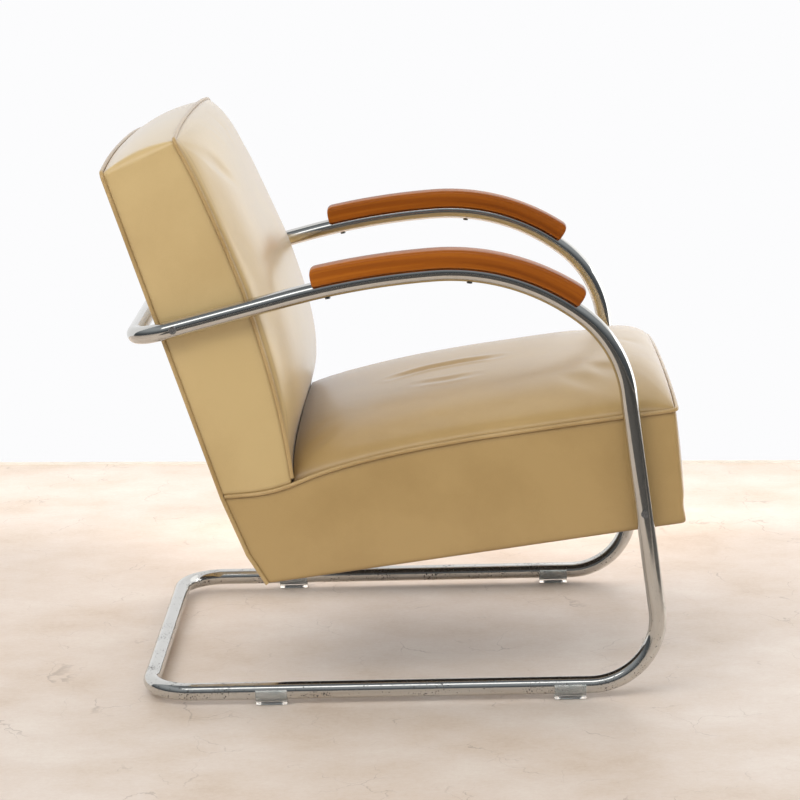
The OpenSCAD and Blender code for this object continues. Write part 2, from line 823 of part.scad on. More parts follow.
module body_nuts() {
    nut_face = bolt_inner - washer_thickness;
    color("darkgray")
        both()
            for (place = [leg_bolt, arm_bolt])
                difference() {
                    rod_y(place, nut_face - nut_height, nut_face, nut_width / 2, 6);
                    rod_y(place, bolt_end, nut_face + overrun, bolt_diameter / 2, small_facets);
                }
}

// Flat pieces cut to a side view outline, between two distances across the chair
module side_board(outline, from, to) {
    translate([0, to, 0])
        rotate([90, 0, 0])
            linear_extrude(to - from)
                polygon(outline);
}
module body_bolt_holes() {
    for (place = [leg_bolt, arm_bolt])
        rod_y(place, bolt_end, half_frame, bolt_hole / 2, small_facets);
}
// Front edge of the stile below the back, where the side rail meets it
stile_foot = stile_front;
stile_knee = back_place(0, stile_front);
stile_foot_place = seat_place(stile_foot, webbing_top);
rail_corner = crossing(stile_foot_place, stile_knee - stile_foot_place, seat_place(0, rail_top),
                       turned([1, 0], seat_tilt));
module rail_half() {
    difference() {
        side_board([stile_foot_place, seat_place(front_plane, webbing_top),
                    seat_place(front_plane, rail_top), rail_corner], bolt_inner, half_core);
        body_bolt_holes();
    }
}
module seat_rail_left() {
    color(beech_color)
        rail_half();
}
module seat_rail_right() {
    color(beech_color)
        right()
            rail_half();
}
module cross_rail(from) {
    color(beech_color)
        side_board([seat_place(from, webbing_top), seat_place(from + rail_thickness, webbing_top),
                    seat_place(from + rail_thickness, rail_top), seat_place(from, rail_top)],
                   -bolt_inner, bolt_inner);
}
rear_rail_place = stile_foot;
module seat_rail_front() {
    cross_rail(front_plane - rail_thickness);
}
module seat_rail_rear() {
    cross_rail(rear_rail_place);
}
// Corner blocks stand on the webbing plane in the four inner corners
block_height_share = 0.7;
module corner_block(along, way) {
    translate(in_space(seat_place(along, webbing_top), 0))
        rotate([0, -seat_tilt, 0])
            linear_extrude(rail_height * block_height_share)
                polygon([[0, bolt_inner], [way * corner_block_size, bolt_inner],
                         [0, bolt_inner - corner_block_size]]);
}
module corner_blocks() {
    block_front = front_plane - rail_thickness;
    block_rear = rear_rail_place + rail_thickness;
    color(beech_color)
        both()
            difference() {
                union() {
                    corner_block(block_front, -1);
                    corner_block(block_rear, 1);
                }
                rod_y(leg_bolt, 0, half_frame, nut_width, small_facets);
            }
}
strap_shares = [-0.36, -0.12, 0.12, 0.36];
module seat_webbing() {
    long = front_plane - soft_gap - stile_foot;
    span = front_plane - stile_foot;
    color("khaki")
        translate(in_space(seat_place(stile_foot, dust_cover_thickness), 0))
            rotate([0, -seat_tilt, 0]) {
                for (share = strap_shares)
                    translate([0, share * 2 * half_core - strap_width / 2, strap_thickness])
                        cube([long, strap_width, strap_thickness]);
                for (share = strap_shares)
                    translate([span * (share + 1 / 2) - strap_width / 2, -half_core, 0])
                        cube([strap_width, 2 * half_core, strap_thickness]);
            }
}
// Hourglass springs, each one unbroken wire
spring_turns = 3.5;
spring_rings = 8;
spring_height = rail_height;
function spring_route() = [
    for (i = [0:spring_turns * spring_rings])
        let (share = i / (spring_turns * spring_rings), angle = 360 * i / spring_rings,
             radius = spring_diameter / 2 - (spring_diameter - spring_waist) / 2 * sin(180 * share)
                 - spring_wire / 2,
             lift = spring_wire / 2 + (spring_height - spring_wire) * share)
            [radius * cos(angle), radius * sin(angle), lift]
];
module seat_springs() {
    middle = (stile_foot + front_plane) / 2;
    color("dimgray")
        translate(in_space(seat_place(middle, webbing_top), 0))
            rotate([0, -seat_tilt, 0])
                for (i = [-1:1])
                    for (j = [-1:1])
                        translate([i * spring_pitch, j * spring_pitch, 0])
                            cord(spring_route(), spring_wire / 2, [0, 0, 1], 5);
}
module seat_hessian() {
    color("peru")
        translate(in_space(seat_place(stile_foot, rail_top), -half_core + soft_gap))
            rotate([0, -seat_tilt, 0])
                cube([front_plane - stile_foot - soft_gap, 2 * half_core - 2 * soft_gap, hessian_thickness]);
}
module seat_stuffing() {
    color("wheat")
        slab(seat_grid(half_core - core_gap, piping_room - core_gap, core_front - 2 * core_gap),
             seat_floor_grid(half_core - core_gap, front_plane), rows, columns);
}
module seat_cover() {
    color(leather_color)
        slab(seat_grid(half_core + top_cover_thickness, piping_room + top_cover_thickness, top_front),
             seat_grid(half_core, piping_room, core_front), rows, columns);
}
// Side covers reach up to the piping and back to the rear piping
line_steps = 36;
seat_line_rear_share = -0.06;
module seat_side_half() {
    first = seat_line_rear_share * seat_depth;
    last = core_front;
    top = [
        for (i = [0:line_steps])
            let (along = last + (first - last) * i / line_steps)
                seat_place(along, seat_line(along) - piping_room)
    ];
    edge = rear_panel_thickness + piping_room;
    difference() {
        side_board(concat([rear_edge(0, edge), seat_place(front_plane, 0)], top, [rear_edge(1, edge)]),
                   half_core, half_body);
        body_bolt_holes();
    }
}
module seat_side_left() {
    color(leather_color)
        seat_side_half();
}
module seat_side_right() {
    color(leather_color)
        right()
            seat_side_half();
}
module seat_front_border() {
    color(leather_color)
        slab(border_grid(seat_depth, front_bulge), border_grid(front_plane, 0), border_rows, columns);
}
// Piping routes, drawn for the left side from the rear and mirrored across the front
seat_piping_steps = 30;
corner_steps = 4;
front_steps = 20;
function mirrored(route) = [for (i = [len(route) - 1:-1:0]) [route[i][0], -route[i][1], route[i][2]]];
function seat_piping_side() =
    let (first = seat_line_rear_share * seat_depth, last = top_front - piping_corner)
        concat(
            [for (i = [0:seat_piping_steps])
                let (along = first + (last - first) * i / seat_piping_steps)
                    in_space(seat_place(along, seat_line(along)), piping_side)],
            [for (i = [1:corner_steps])
                let (angle = 90 * i / corner_steps,
                     across = piping_side - piping_corner * (1 - cos(angle)),
                     along = last + piping_corner * sin(angle) + front_bow * arch(across))
                    in_space(seat_place(along, seat_line(along) + seat_front_rise * arch(across)), across)],
            [for (i = [1:front_steps / 2])
                let (across = (piping_side - piping_corner) * (1 - 2 * i / front_steps),
                     along = top_front + front_bow * arch(across))
                    in_space(seat_place(along, seat_line(along) + seat_front_rise * arch(across)), across)]);
module seat_piping() {
    half_route = seat_piping_side();
    route = concat(half_route, [for (i = [1:len(half_route) - 1]) mirrored(half_route)[i]]);
    color(leather_color)
        cord(route, piping_radius, in_space(turned([0, 1], seat_tilt), 0), 6);
}
module dust_cover() {
    color("dimgray")
        translate(in_space(seat_place(rear_panel_thickness + soft_gap, 0), -half_core + soft_gap))
            rotate([0, -seat_tilt, 0])
                cube([front_plane - rear_panel_thickness - 2 * soft_gap, 2 * (half_core - soft_gap),
                      dust_cover_thickness - hairline]);
}

// Back frame
stile_top = back_top(rear_panel_thickness) - side_cover_thickness - piping_radius;
module stile_half() {
    difference() {
        side_board([seat_place(rear_panel_thickness, webbing_top), stile_foot_place, stile_knee,
                    back_place(stile_top, stile_front), back_place(stile_top, rear_panel_thickness),
                    back_place(0, rear_panel_thickness), rear_edge(1, rear_panel_thickness)],
                   bolt_inner, half_core);
        body_bolt_holes();
        tack_shanks(hole_clearance / 4);
    }
}
module back_stile_left() {
    color(beech_color)
        stile_half();
}
module back_stile_right() {
    color(beech_color)
        right()
            stile_half();
}
module back_rail(low) {
    color(beech_color)
        side_board([back_place(low, stile_front - rail_thickness), back_place(low, stile_front),
                    back_place(low + back_rail_height, stile_front),
                    back_place(low + back_rail_height, stile_front - rail_thickness)],
                   -bolt_inner, bolt_inner);
}
module back_rail_top() {
    back_rail(stile_top - back_rail_height);
}
module back_rail_lower() {
    back_rail(rail_thickness);
}
module back_webbing() {
    low = rail_thickness;
    long = stile_top - low;
    color("khaki")
        translate(in_space(back_place(low, stile_front), 0))
            rotate([0, -back_tilt, 0]) {
                for (share = strap_shares)
                    translate([0, share * 2 * bolt_inner - strap_width / 2, 0])
                        cube([strap_thickness, strap_width, long]);
                for (share = strap_shares)
                    translate([strap_thickness, -half_core + soft_gap, long * (share + 1 / 2) - strap_width / 2])
                        cube([strap_thickness, 2 * (half_core - soft_gap), strap_width]);
            }
}
module back_stuffing() {
    color("wheat")
        slab(back_grid(half_core - core_gap, piping_room - core_gap, core_top),
             back_floor_grid(half_core - core_gap, core_top), rows, columns);
}
module back_cover() {
    color(leather_color)
        slab(back_grid(half_core + top_cover_thickness, piping_room + top_cover_thickness,
                       back_length - soft_gap),
             back_grid(half_core, piping_room, core_top + soft_gap), rows, columns);
}
// Boxing: two sides and a top strip with the same rise across the chair
back_line_steps = 14;
foot_steps = 8;
top_steps = 20;
boxing_front = back_line(back_length) - piping_room;
module boxing_side() {
    edge = rear_panel_thickness + piping_room;
    foot_along = seat_line_rear_share * seat_depth;
    foot_front = tuck_place - 2 * piping_room;
    front = [
        for (i = [0:back_line_steps])
            let (up = back_foot + (back_length - soft_gap - side_cover_thickness - back_foot) * i / back_line_steps)
                back_place(up, back_line(up) - piping_room)
    ];
    foot = [
        for (i = [0:foot_steps])
            let (along = foot_along + (foot_front - foot_along) * i / foot_steps)
                seat_place(along, seat_line(along) + piping_room)
    ];
    difference() {
        side_board(concat(foot, front, [back_place(back_top(edge) - side_cover_thickness, edge)]),
                   half_core, half_body);
        body_bolt_holes();
    }
}
module top_strip() {
    edge = rear_panel_thickness + piping_room;
    slope = atan2(back_top(boxing_front) - back_top(edge), boxing_front - edge);
    start = edge + (back_top_rise + side_cover_thickness) * sin(slope);
    outer = [
        for (i = [0:top_steps])
            let (across = half_body * (1 - 2 * i / top_steps))
                [across, back_top_rise * arch(across)]
    ];
    inner = [for (i = [top_steps:-1:0]) outer[i] - [0, side_cover_thickness]];
    translate(in_space(back_place(back_top(start), start), 0))
        rotate([0, -back_tilt - slope, 0])
            rotate([90, 0, 90])
                linear_extrude((boxing_front - start) / cos(slope))
                    polygon(concat(outer, inner));
}
module back_boxing() {
    color(leather_color) {
        both()
            boxing_side();
        top_strip();
    }
}
function back_piping_side(first_up, last_up, rear) =
    let (last = last_up - piping_corner)
        concat(
            [for (i = [0:back_line_steps])
                let (up = first_up + (last - first_up) * i / back_line_steps)
                    in_space(back_place(up, rear ? rear_panel_thickness : back_line(up)), piping_side)],
            [for (i = [1:corner_steps])
                let (angle = 90 * i / corner_steps, across = piping_side - piping_corner * (1 - cos(angle)),
                     up = last + piping_corner * sin(angle))
                    in_space(back_place(up + back_top_rise * arch(across),
                                        rear ? rear_panel_thickness : back_line(up)), across)],
            [for (i = [1:front_steps / 2])
                let (across = (piping_side - piping_corner) * (1 - 2 * i / front_steps))
                    in_space(back_place(last_up + back_top_rise * arch(across),
                                        rear ? rear_panel_thickness : back_line(last_up)), across)]);
module back_cord(half_route) {
    route = concat(half_route, [for (i = [1:len(half_route) - 1]) mirrored(half_route)[i]]);
    color(leather_color)
        cord(route, piping_radius, in_space(turned([1, 0], back_tilt), 0), 6);
}
module back_piping_front() {
    back_cord(back_piping_side(back_foot + piping_radius, back_length - soft_gap, false));
}
module back_piping_rear() {
    upper = back_piping_side(0, back_top(rear_panel_thickness) - soft_gap, true);
    foot = [for (i = [0, 1]) in_space(rear_edge(i, rear_panel_thickness), piping_side)];
    back_cord(concat(foot, upper));
}
// The rear panel is flat above its bend, with an arched top, and follows the kinked edge below
panel_top = back_top(0) - piping_room - piping_radius;
module rear_panel() {
    arched = [
        for (i = [0:top_steps])
            let (across = half_core * (1 - 2 * i / top_steps))
                [panel_top + back_top_rise * arch(across), across]
    ];
    color(leather_color)
        difference() {
            union() {
                side_board([rear_edge(0, 0), rear_edge(1, 0), back_place(0, 0),
                            back_place(piping_corner, 0), back_place(piping_corner, rear_panel_thickness),
                            back_place(0, rear_panel_thickness), rear_edge(1, rear_panel_thickness),
                            rear_edge(0, rear_panel_thickness)],
                           -half_core, half_core);
                translate(in_space(back_place(0, 0), 0))
                    rotate([0, 90 - back_tilt, 0])
                        linear_extrude(rear_panel_thickness)
                            polygon(concat([[-piping_corner, half_core]],
                                           [for (place = arched) [-place[0], place[1]]],
                                           [[-piping_corner, -half_core]]));
            }
            both()
                tack_shanks(hole_clearance / 4);
        }
}
tack_top = panel_top - tack_inset;
tack_count = floor(tack_top / tack_pitch);
module tack_shanks(clearance) {
    for (i = [0:tack_count])
        translate(in_space(back_place(tack_top - i * tack_pitch, 0), half_core - tack_inset))
            rotate([0, 90 - back_tilt, 0])
                translate([0, 0, -tack_head_height])
                    cylinder(h = tack_length + clearance, r = tack_head / 5 + clearance, $fn = small_facets);
}
module rear_tacks() {
    color("gray")
        both() {
            tack_shanks(0);
            for (i = [0:tack_count])
                translate(in_space(back_place(tack_top - i * tack_pitch, 0), half_core - tack_inset))
                    rotate([0, 90 - back_tilt, 0])
                        translate([0, 0, -tack_head_height])
                            cylinder(h = tack_head_height, r = tack_head / 2, $fn = small_facets);
        }
}

floor_tube_right();
floor_tube_left();
floor_sleeve();
floor_pins();
front_bend_right();
front_bend_left();
upper_tube();
arm_pad_right();
arm_pad_left();
pad_screws();
glide_front_right();
glide_front_left();
glide_rear_right();
glide_rear_left();
insert_front_right();
insert_front_left();
insert_rear_right();
insert_rear_left();
seat_bolts();
back_bolts();
body_spacers();
body_washers();
body_nuts();
seat_rail_right();
seat_rail_left();
seat_rail_front();
seat_rail_rear();
corner_blocks();
seat_webbing();
seat_springs();
seat_hessian();
seat_stuffing();
seat_cover();
seat_side_right();
seat_side_left();
seat_front_border();
seat_piping();
dust_cover();
back_stile_right();
back_stile_left();
back_rail_top();
back_rail_lower();
back_webbing();
back_stuffing();
back_cover();
back_boxing();
back_piping_front();
back_piping_rear();
rear_panel();
rear_tacks();
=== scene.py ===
# Cantilever lounge chair: bent chrome tube, leather seat and back, varnished arm pads.
# Front is +X, up is +Z, the sitter's left is +Y. Sizes below are in millimetres.
import math

import bpy
import bmesh
import numpy as np
from mathutils import Matrix, Vector, noise
from mathutils.bvhtree import BVHTree


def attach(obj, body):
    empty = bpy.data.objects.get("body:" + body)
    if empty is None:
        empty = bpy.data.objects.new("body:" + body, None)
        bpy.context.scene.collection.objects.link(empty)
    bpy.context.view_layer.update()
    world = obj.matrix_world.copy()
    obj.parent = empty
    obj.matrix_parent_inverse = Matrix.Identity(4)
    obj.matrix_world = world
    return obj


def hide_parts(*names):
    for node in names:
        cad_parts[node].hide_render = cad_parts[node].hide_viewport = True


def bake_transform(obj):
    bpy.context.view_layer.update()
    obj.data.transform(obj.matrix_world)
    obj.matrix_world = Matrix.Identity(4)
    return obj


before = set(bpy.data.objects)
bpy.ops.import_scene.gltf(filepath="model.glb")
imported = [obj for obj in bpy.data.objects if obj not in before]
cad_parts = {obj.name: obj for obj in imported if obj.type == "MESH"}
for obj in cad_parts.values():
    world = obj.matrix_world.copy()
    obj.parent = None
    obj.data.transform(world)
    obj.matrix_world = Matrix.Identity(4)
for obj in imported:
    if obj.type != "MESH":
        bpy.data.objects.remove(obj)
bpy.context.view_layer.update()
print("frame loaded:", len(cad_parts), "nodes")

mm = 0.001
scene = bpy.context.scene
scene.view_settings.view_transform = "Standard"


# sRGB hex to linear
def linear(code):
    values = [int(code[i:i + 2], 16) / 255 for i in (1, 3, 5)]
    return tuple(v / 12.92 if v <= 0.04045 else ((v + 0.055) / 1.055) ** 2.4 for v in values) + (1.0,)


def addNode(tree, kind, inputs=None, stops=None, **settings):
    # a node given as a value stands for its first output, and a hex code for its colour
    node = tree.nodes.new(kind)
    for key, value in settings.items():
        setattr(node, key, value)
    for key, value in (inputs or {}).items():
        socket = node.inputs[key]
        if isinstance(value, bpy.types.Node):
            value = value.outputs[0]
        if isinstance(value, bpy.types.NodeSocket):
            tree.links.new(value, socket)
        else:
            socket.default_value = linear(value) if isinstance(value, str) else value
    if stops:
        elements = node.color_ramp.elements
        while len(elements) < len(stops):
            elements.new(0.5)
        for element, (place, colour) in zip(elements, stops):
            element.position = place
            element.color = linear(colour) if isinstance(colour, str) else (colour, colour, colour, 1)
    return node


def newMaterial(name):
    material = bpy.data.materials.new(name)
    material.use_nodes = True
    material.node_tree.nodes.clear()
    return material, material.node_tree


def smooth(piece):
    piece.data.polygons.foreach_set("use_smooth", [True] * len(piece.data.polygons))


def meshPiece(name, points, faces, material, rounded=True, edges=()):
    mesh = bpy.data.meshes.new(name)
    mesh.from_pydata([Vector(p) * mm for p in points], edges, faces)
    mesh.update()
    piece = bpy.data.objects.new(name, mesh)
    scene.collection.objects.link(piece)
    if material:
        mesh.materials.append(material)
    if rounded:
        smooth(piece)
    return piece


def readPlaces(piece):
    flat = np.empty(len(piece.data.vertices) * 3)
    piece.data.vertices.foreach_get("co", flat)
    return flat.reshape(-1, 3)


def writePlaces(piece, places):
    piece.data.vertices.foreach_set("co", places.reshape(-1))
    piece.data.update()


def turnOutwards(piece):
    work = bmesh.new()
    work.from_mesh(piece.data)
    bmesh.ops.recalc_face_normals(work, faces=work.faces)
    work.to_mesh(piece.data)
    work.free()


def flatten(piece):
    # replaces the mesh by its evaluated form, so that no modifier is left
    graph = bpy.context.evaluated_depsgraph_get()
    mesh = bpy.data.meshes.new_from_object(piece.evaluated_get(graph))
    piece.modifiers.clear()
    piece.data = mesh


def quarter(count):
    # cosines and sines of a quarter turn
    return [(math.cos(t), math.sin(t)) for t in np.radians(np.linspace(0, 90, count))]


def mirrored(route):
    return route + [(x, -y, z) for x, y, z in route[-2::-1]]


# the side view of the tube, as its bender draws it
tube = {
    "diameter": 25, "width": 575, "floorGap": 7,
    "bendPlace": 264.6, "bendRadius": 97, "legLean": 7, "legLength": 319,
    "arcs": ((168, 45.2), (305, 41), (1080, 10.8)),  # radius and sweep, from the leg up
    "armStraight": 177, "armCorner": 50,
    "runnerLength": 569, "floorCorner": 65,
    "seamGap": 0.06,  # where the loop is closed, at the middle of the rear floor bar
    "sides": 40, "arcStep": 6.98,
    "steps": {"bend": 49, "leg": 28, "arm": 16, "runner": 50, "corner": 31, "bar": 20},
}
halfWidth = tube["width"] / 2
runnerHeight = tube["floorGap"] + tube["diameter"] / 2
bendCentre = np.array((tube["bendPlace"], runnerHeight + tube["bendRadius"]))
runnerEnd = tube["bendPlace"] - tube["runnerLength"]


def polar(centre, radius, angle):
    a = math.radians(angle)
    return np.array((centre[0] + radius * math.cos(a), centre[1] + radius * math.sin(a)))


def sideChain():
    # centre line of one side from the runner to the rear corner of the arm, with every arc's centre
    lean, steps = tube["legLean"], tube["steps"]
    places = [polar(bendCentre, tube["bendRadius"], a) for a in np.linspace(-90, lean, steps["bend"])]
    foot = places[-1]
    up = np.array((-math.sin(math.radians(lean)), math.cos(math.radians(lean))))
    top = foot + tube["legLength"] * up
    places += [foot + (top - foot) * t for t in np.linspace(0, 1, steps["leg"])[1:]]
    arcs, angle, last = [], lean, top
    for radius, sweep in tube["arcs"]:
        centre = polar(last, radius, 180 + angle)
        count = int(math.radians(sweep) * radius / tube["arcStep"])
        places += [polar(centre, radius, a) for a in np.linspace(angle, angle + sweep, count)[1:]]
        arcs.append((centre, radius, angle, angle + sweep))
        angle += sweep
        last = polar(centre, radius, angle)
    ahead = np.array((-math.sin(math.radians(angle)), math.cos(math.radians(angle))))
    end = last + tube["armStraight"] * ahead
    places += [last + (end - last) * t for t in np.linspace(0, 1, steps["arm"])[1:]]
    return places, arcs, foot, up, end, ahead


chain, armArcs, legFoot, legUp, armEnd, armAhead = sideChain()


def tubeRoute():
    # from the seam along the floor, up the leg, over the arm and behind the back, then the same way back
    steps, corner = tube["steps"], tube["floorCorner"]
    route = [(runnerEnd - corner, y, runnerHeight)
             for y in np.linspace(tube["seamGap"], halfWidth - corner, steps["bar"])]
    route += [(runnerEnd - corner * c, halfWidth - corner + corner * s, runnerHeight)
              for c, s in quarter(steps["corner"])[1:]]
    route += [(x, halfWidth, runnerHeight)
              for x in np.linspace(runnerEnd, tube["bendPlace"], steps["runner"])[1:-1]]
    route += [(p[0], halfWidth, p[1]) for p in chain]
    corner = tube["armCorner"]
    for c, s in quarter(steps["corner"])[1:]:
        p = armEnd + corner * s * armAhead
        route.append((p[0], halfWidth - corner * (1 - c), p[1]))
    bar = armEnd + corner * armAhead
    route += [(bar[0], y, bar[1]) for y in np.linspace(halfWidth - corner, 0, steps["bar"])[1:]]
    return mirrored(route)


# the upholstered body: a seat box and a back that leans out of it
body = {
    "width": 536, "cover": 4,
    "seatTilt": 7.4, "seatDepth": 605, "seatHeight": 166, "seatCrown": 51,
    "frontRise": 12, "frontRoll": 72, "frontLean": 7, "frontBow": 1.5, "frontBulge": 7,
    "backTilt": 17.7, "backLength": 500, "backDepth": 133, "backCrown": 44,
    "topRise": 10, "topDrop": 11, "topRoll": 52,
    "rearPanel": 2.6, "piping": 6, "pipingOut": 2.6, "pipingCorner": 8, "pipingGap": 0.3,
    "tuckStart": 62.92, "tuckLean": 0.408, "tuckGap": 6,
    "boltHeight": 146, "boltSetback": 58, "boltRise": 31,
    "hessianTop": 92, "webbingFront": 52.6,
    "blur": 0.035,  # how far the tables below are smoothed, as a share of the length
}
# each table has places along the length and the height there, as shares
rearEdgeShares = ((0, 0), (-0.122, 0.28), (-0.255, 0.8))
seatLineShares = (
    (-0.1, 0.82), (-0.057, 0.822), (0, 0.797), (0.05, 0.8), (0.1, 0.83), (0.15, 0.884),
    (0.22, 0.928), (0.31, 0.966), (0.41, 0.992), (0.55, 1.006), (0.78, 1.004), (1, 0.995), (1.1, 0.99),
)
backLineShares = (
    (-0.1, 0.71), (-0.015, 0.795), (0.1, 0.875), (0.2, 0.925), (0.32, 0.965), (0.45, 0.987),
    (0.55, 0.998), (0.68, 0.975), (0.8, 0.945), (0.9, 0.912), (1, 0.853), (1.1, 0.79),
)
backCrownShares = (
    (-0.1, 0), (-0.012, 0), (0.05, 0.04), (0.08, 0.1), (0.12, 0.36), (0.16, 0.7), (0.21, 0.88),
    (0.28, 0.97), (0.4, 1), (0.5, 0.96), (0.6, 0.88), (0.75, 0.8), (0.9, 0.73), (1.1, 0.7),
)


def smoothed(table, share):
    xs, ys = zip(*table)
    a, b, c = (float(np.interp(share + d, xs, ys)) for d in (-body["blur"], 0, body["blur"]))
    return (a + 2 * b + c) / 4


def turned(place, angle):
    a = math.radians(angle)
    return np.array((place[0] * math.cos(a) - place[1] * math.sin(a),
                     place[0] * math.sin(a) + place[1] * math.cos(a)))


seatDepth, seatHeight = body["seatDepth"], body["seatHeight"]
backLength, backDepth = body["backLength"], body["backDepth"]
topDepth = backDepth * dict(backLineShares)[1]
halfBody = body["width"] / 2
halfCore = halfBody - body["cover"]
pipingRadius = body["piping"] / 2
pipingSide = halfBody - pipingRadius + body["pipingOut"]
topFront = seatDepth + body["frontLean"]
legBolt = legFoot + body["boltHeight"] * legUp
bodyOrigin = legBolt - turned((seatDepth - body["boltSetback"], body["boltRise"]), body["seatTilt"])


def seatPlace(along, up):
    return bodyOrigin + turned((along, up), body["seatTilt"])


def rearEdge(index, inset=0.0):
    share = rearEdgeShares[index]
    return seatPlace(share[0] * seatHeight + inset, share[1] * seatHeight)


backOrigin = rearEdge(2)


def backPlace(up, forward):
    return backOrigin + turned((forward, up), body["backTilt"])


def seatLine(along):
    return seatHeight * smoothed(seatLineShares, along / seatDepth)


def backLine(up):
    return backDepth * smoothed(backLineShares, up / backLength)


def backTop(forward):
    return backLength - body["topDrop"] * (1 - forward / topDepth)


# curves without a size: an edge that arches across the body, a crown that swells, its roll over an end
def arch(across):
    return 1 - min(1.0, abs(across / halfBody)) ** 2.5


def hump(side):
    return (1 - min(1.0, abs(side)) ** 3) ** 0.6


def roll(share):
    return 1.0 if share >= 1 else (1 - (1 - max(0.0, share)) ** 2.2) ** 0.6


def tuckLine(up):
    return body["tuckStart"] + body["tuckGap"] + (up - seatLine(body["tuckStart"])) * body["tuckLean"]


def at(place, across):
    return (float(place[0]), float(across), float(place[1]))


def makeChrome():
    # nickel-chrome plate on steel, polished: mirror bright, with rust pits where the plate has gone
    material, tree = newMaterial("polishedChromePlate")
    place = addNode(tree, "ShaderNodeTexCoord").outputs["Object"]
    cloud = addNode(tree, "ShaderNodeTexNoise", {"Vector": place, "Scale": 26.0, "Detail": 3.0})
    pits = addNode(tree, "ShaderNodeTexNoise", {"Vector": place, "Scale": 420.0, "Detail": 2.0})
    # pits gather at the rear floor corners and along the runners, where feet and floors touch
    height = addNode(tree, "ShaderNodeSeparateXYZ", {"Vector": place}).outputs["Z"]
    low = addNode(tree, "ShaderNodeMapRange",
                  {"Value": height, "From Min": 0.02, "From Max": 0.30, "To Min": 1.0, "To Max": 0.25})
    gathered = addNode(tree, "ShaderNodeMath", {0: cloud, 1: low}, operation="MULTIPLY")
    worn = addNode(tree, "ShaderNodeMath", {0: gathered, 1: 0.45, 2: pits}, operation="MULTIPLY_ADD")
    mask = addNode(tree, "ShaderNodeValToRGB", {"Fac": worn}, stops=((0.0, 0.0), (0.86, 0.0), (0.90, 0.8)))
    metal = addNode(tree, "ShaderNodeMix", {0: mask, 6: "#CFCECA", 7: "#2B2420"}, data_type="RGBA")
    haze = addNode(tree, "ShaderNodeMapRange",
                   {"Value": cloud, "From Min": 0.35, "From Max": 0.75, "To Min": 0.07, "To Max": 0.17})
    rough = addNode(tree, "ShaderNodeMath", {0: haze, 1: mask}, operation="MAXIMUM")
    ripple = addNode(tree, "ShaderNodeTexNoise", {"Vector": place, "Scale": 60.0, "Detail": 2.0})
    bump = addNode(tree, "ShaderNodeBump", {"Height": ripple, "Strength": 0.06, "Distance": 0.0006})
    shader = addNode(tree, "ShaderNodeBsdfPrincipled",
                     {"Base Color": metal.outputs[2], "Metallic": 1.0, "Roughness": rough, "Normal": bump})
    addNode(tree, "ShaderNodeOutputMaterial", {"Surface": shader})
    return material


def makeLeather(name, light, dark, film):
    # pigmented, lightly waxed cowhide: a satin film over 1 mm pebbles, its tone varying at random
    material, tree = newMaterial(name)
    place = addNode(tree, "ShaderNodeTexCoord").outputs["Object"]
    cloud = addNode(tree, "ShaderNodeTexNoise",
                    {"Vector": place, "Scale": 7.0, "Detail": 4.0, "Roughness": 0.6})
    speck = addNode(tree, "ShaderNodeTexNoise", {"Vector": place, "Scale": 900.0, "Detail": 2.0})
    mixed = addNode(tree, "ShaderNodeMath", {0: speck, 1: 0.25, 2: cloud}, operation="MULTIPLY_ADD")
    tone = addNode(tree, "ShaderNodeValToRGB", {"Fac": mixed}, stops=((0.42, dark), (0.72, light)))
    # painted shade: the seam attribute darkens the hide toward a dark brown in the tuck and along every seam,
    # where it also stands for dirt
    seam = addNode(tree, "ShaderNodeAttribute", attribute_name="seam").outputs["Fac"]
    soilAndShade = addNode(tree, "ShaderNodeMath", {0: seam, 1: 0.45}, operation="MULTIPLY")
    shaded = addNode(tree, "ShaderNodeMix", {0: soilAndShade, 6: tone, 7: "#7E6238"}, data_type="RGBA")
    pebble = addNode(tree, "ShaderNodeTexVoronoi",
                     {"Vector": place, "Scale": 900.0, "Smoothness": 0.5}, feature="SMOOTH_F1")
    crease = addNode(tree, "ShaderNodeTexNoise",
                     {"Vector": place, "Scale": 55.0, "Detail": 5.0, "Distortion": 0.6})
    relief = addNode(tree, "ShaderNodeMath", {0: pebble, 1: 0.35, 2: crease}, operation="MULTIPLY_ADD")
    bump = addNode(tree, "ShaderNodeBump", {"Height": relief, "Strength": 0.18, "Distance": 0.0012})
    gloss = addNode(tree, "ShaderNodeMapRange",
                    {"Value": cloud, "From Min": 0.3, "From Max": 0.7, "To Min": 0.40, "To Max": 0.48})
    shader = addNode(tree, "ShaderNodeBsdfPrincipled",
                     {"Base Color": shaded.outputs[2], "Roughness": gloss, "Normal": bump,
                      "IOR": 1.5, "Specular IOR Level": 0.3,
                      "Coat Weight": film, "Coat Roughness": 0.24, "Coat IOR": 1.55,
                      "Sheen Weight": 0.18, "Sheen Roughness": 0.35, "Sheen Tint": "#F1F4FF"})
    addNode(tree, "ShaderNodeOutputMaterial", {"Surface": shader})
    return material


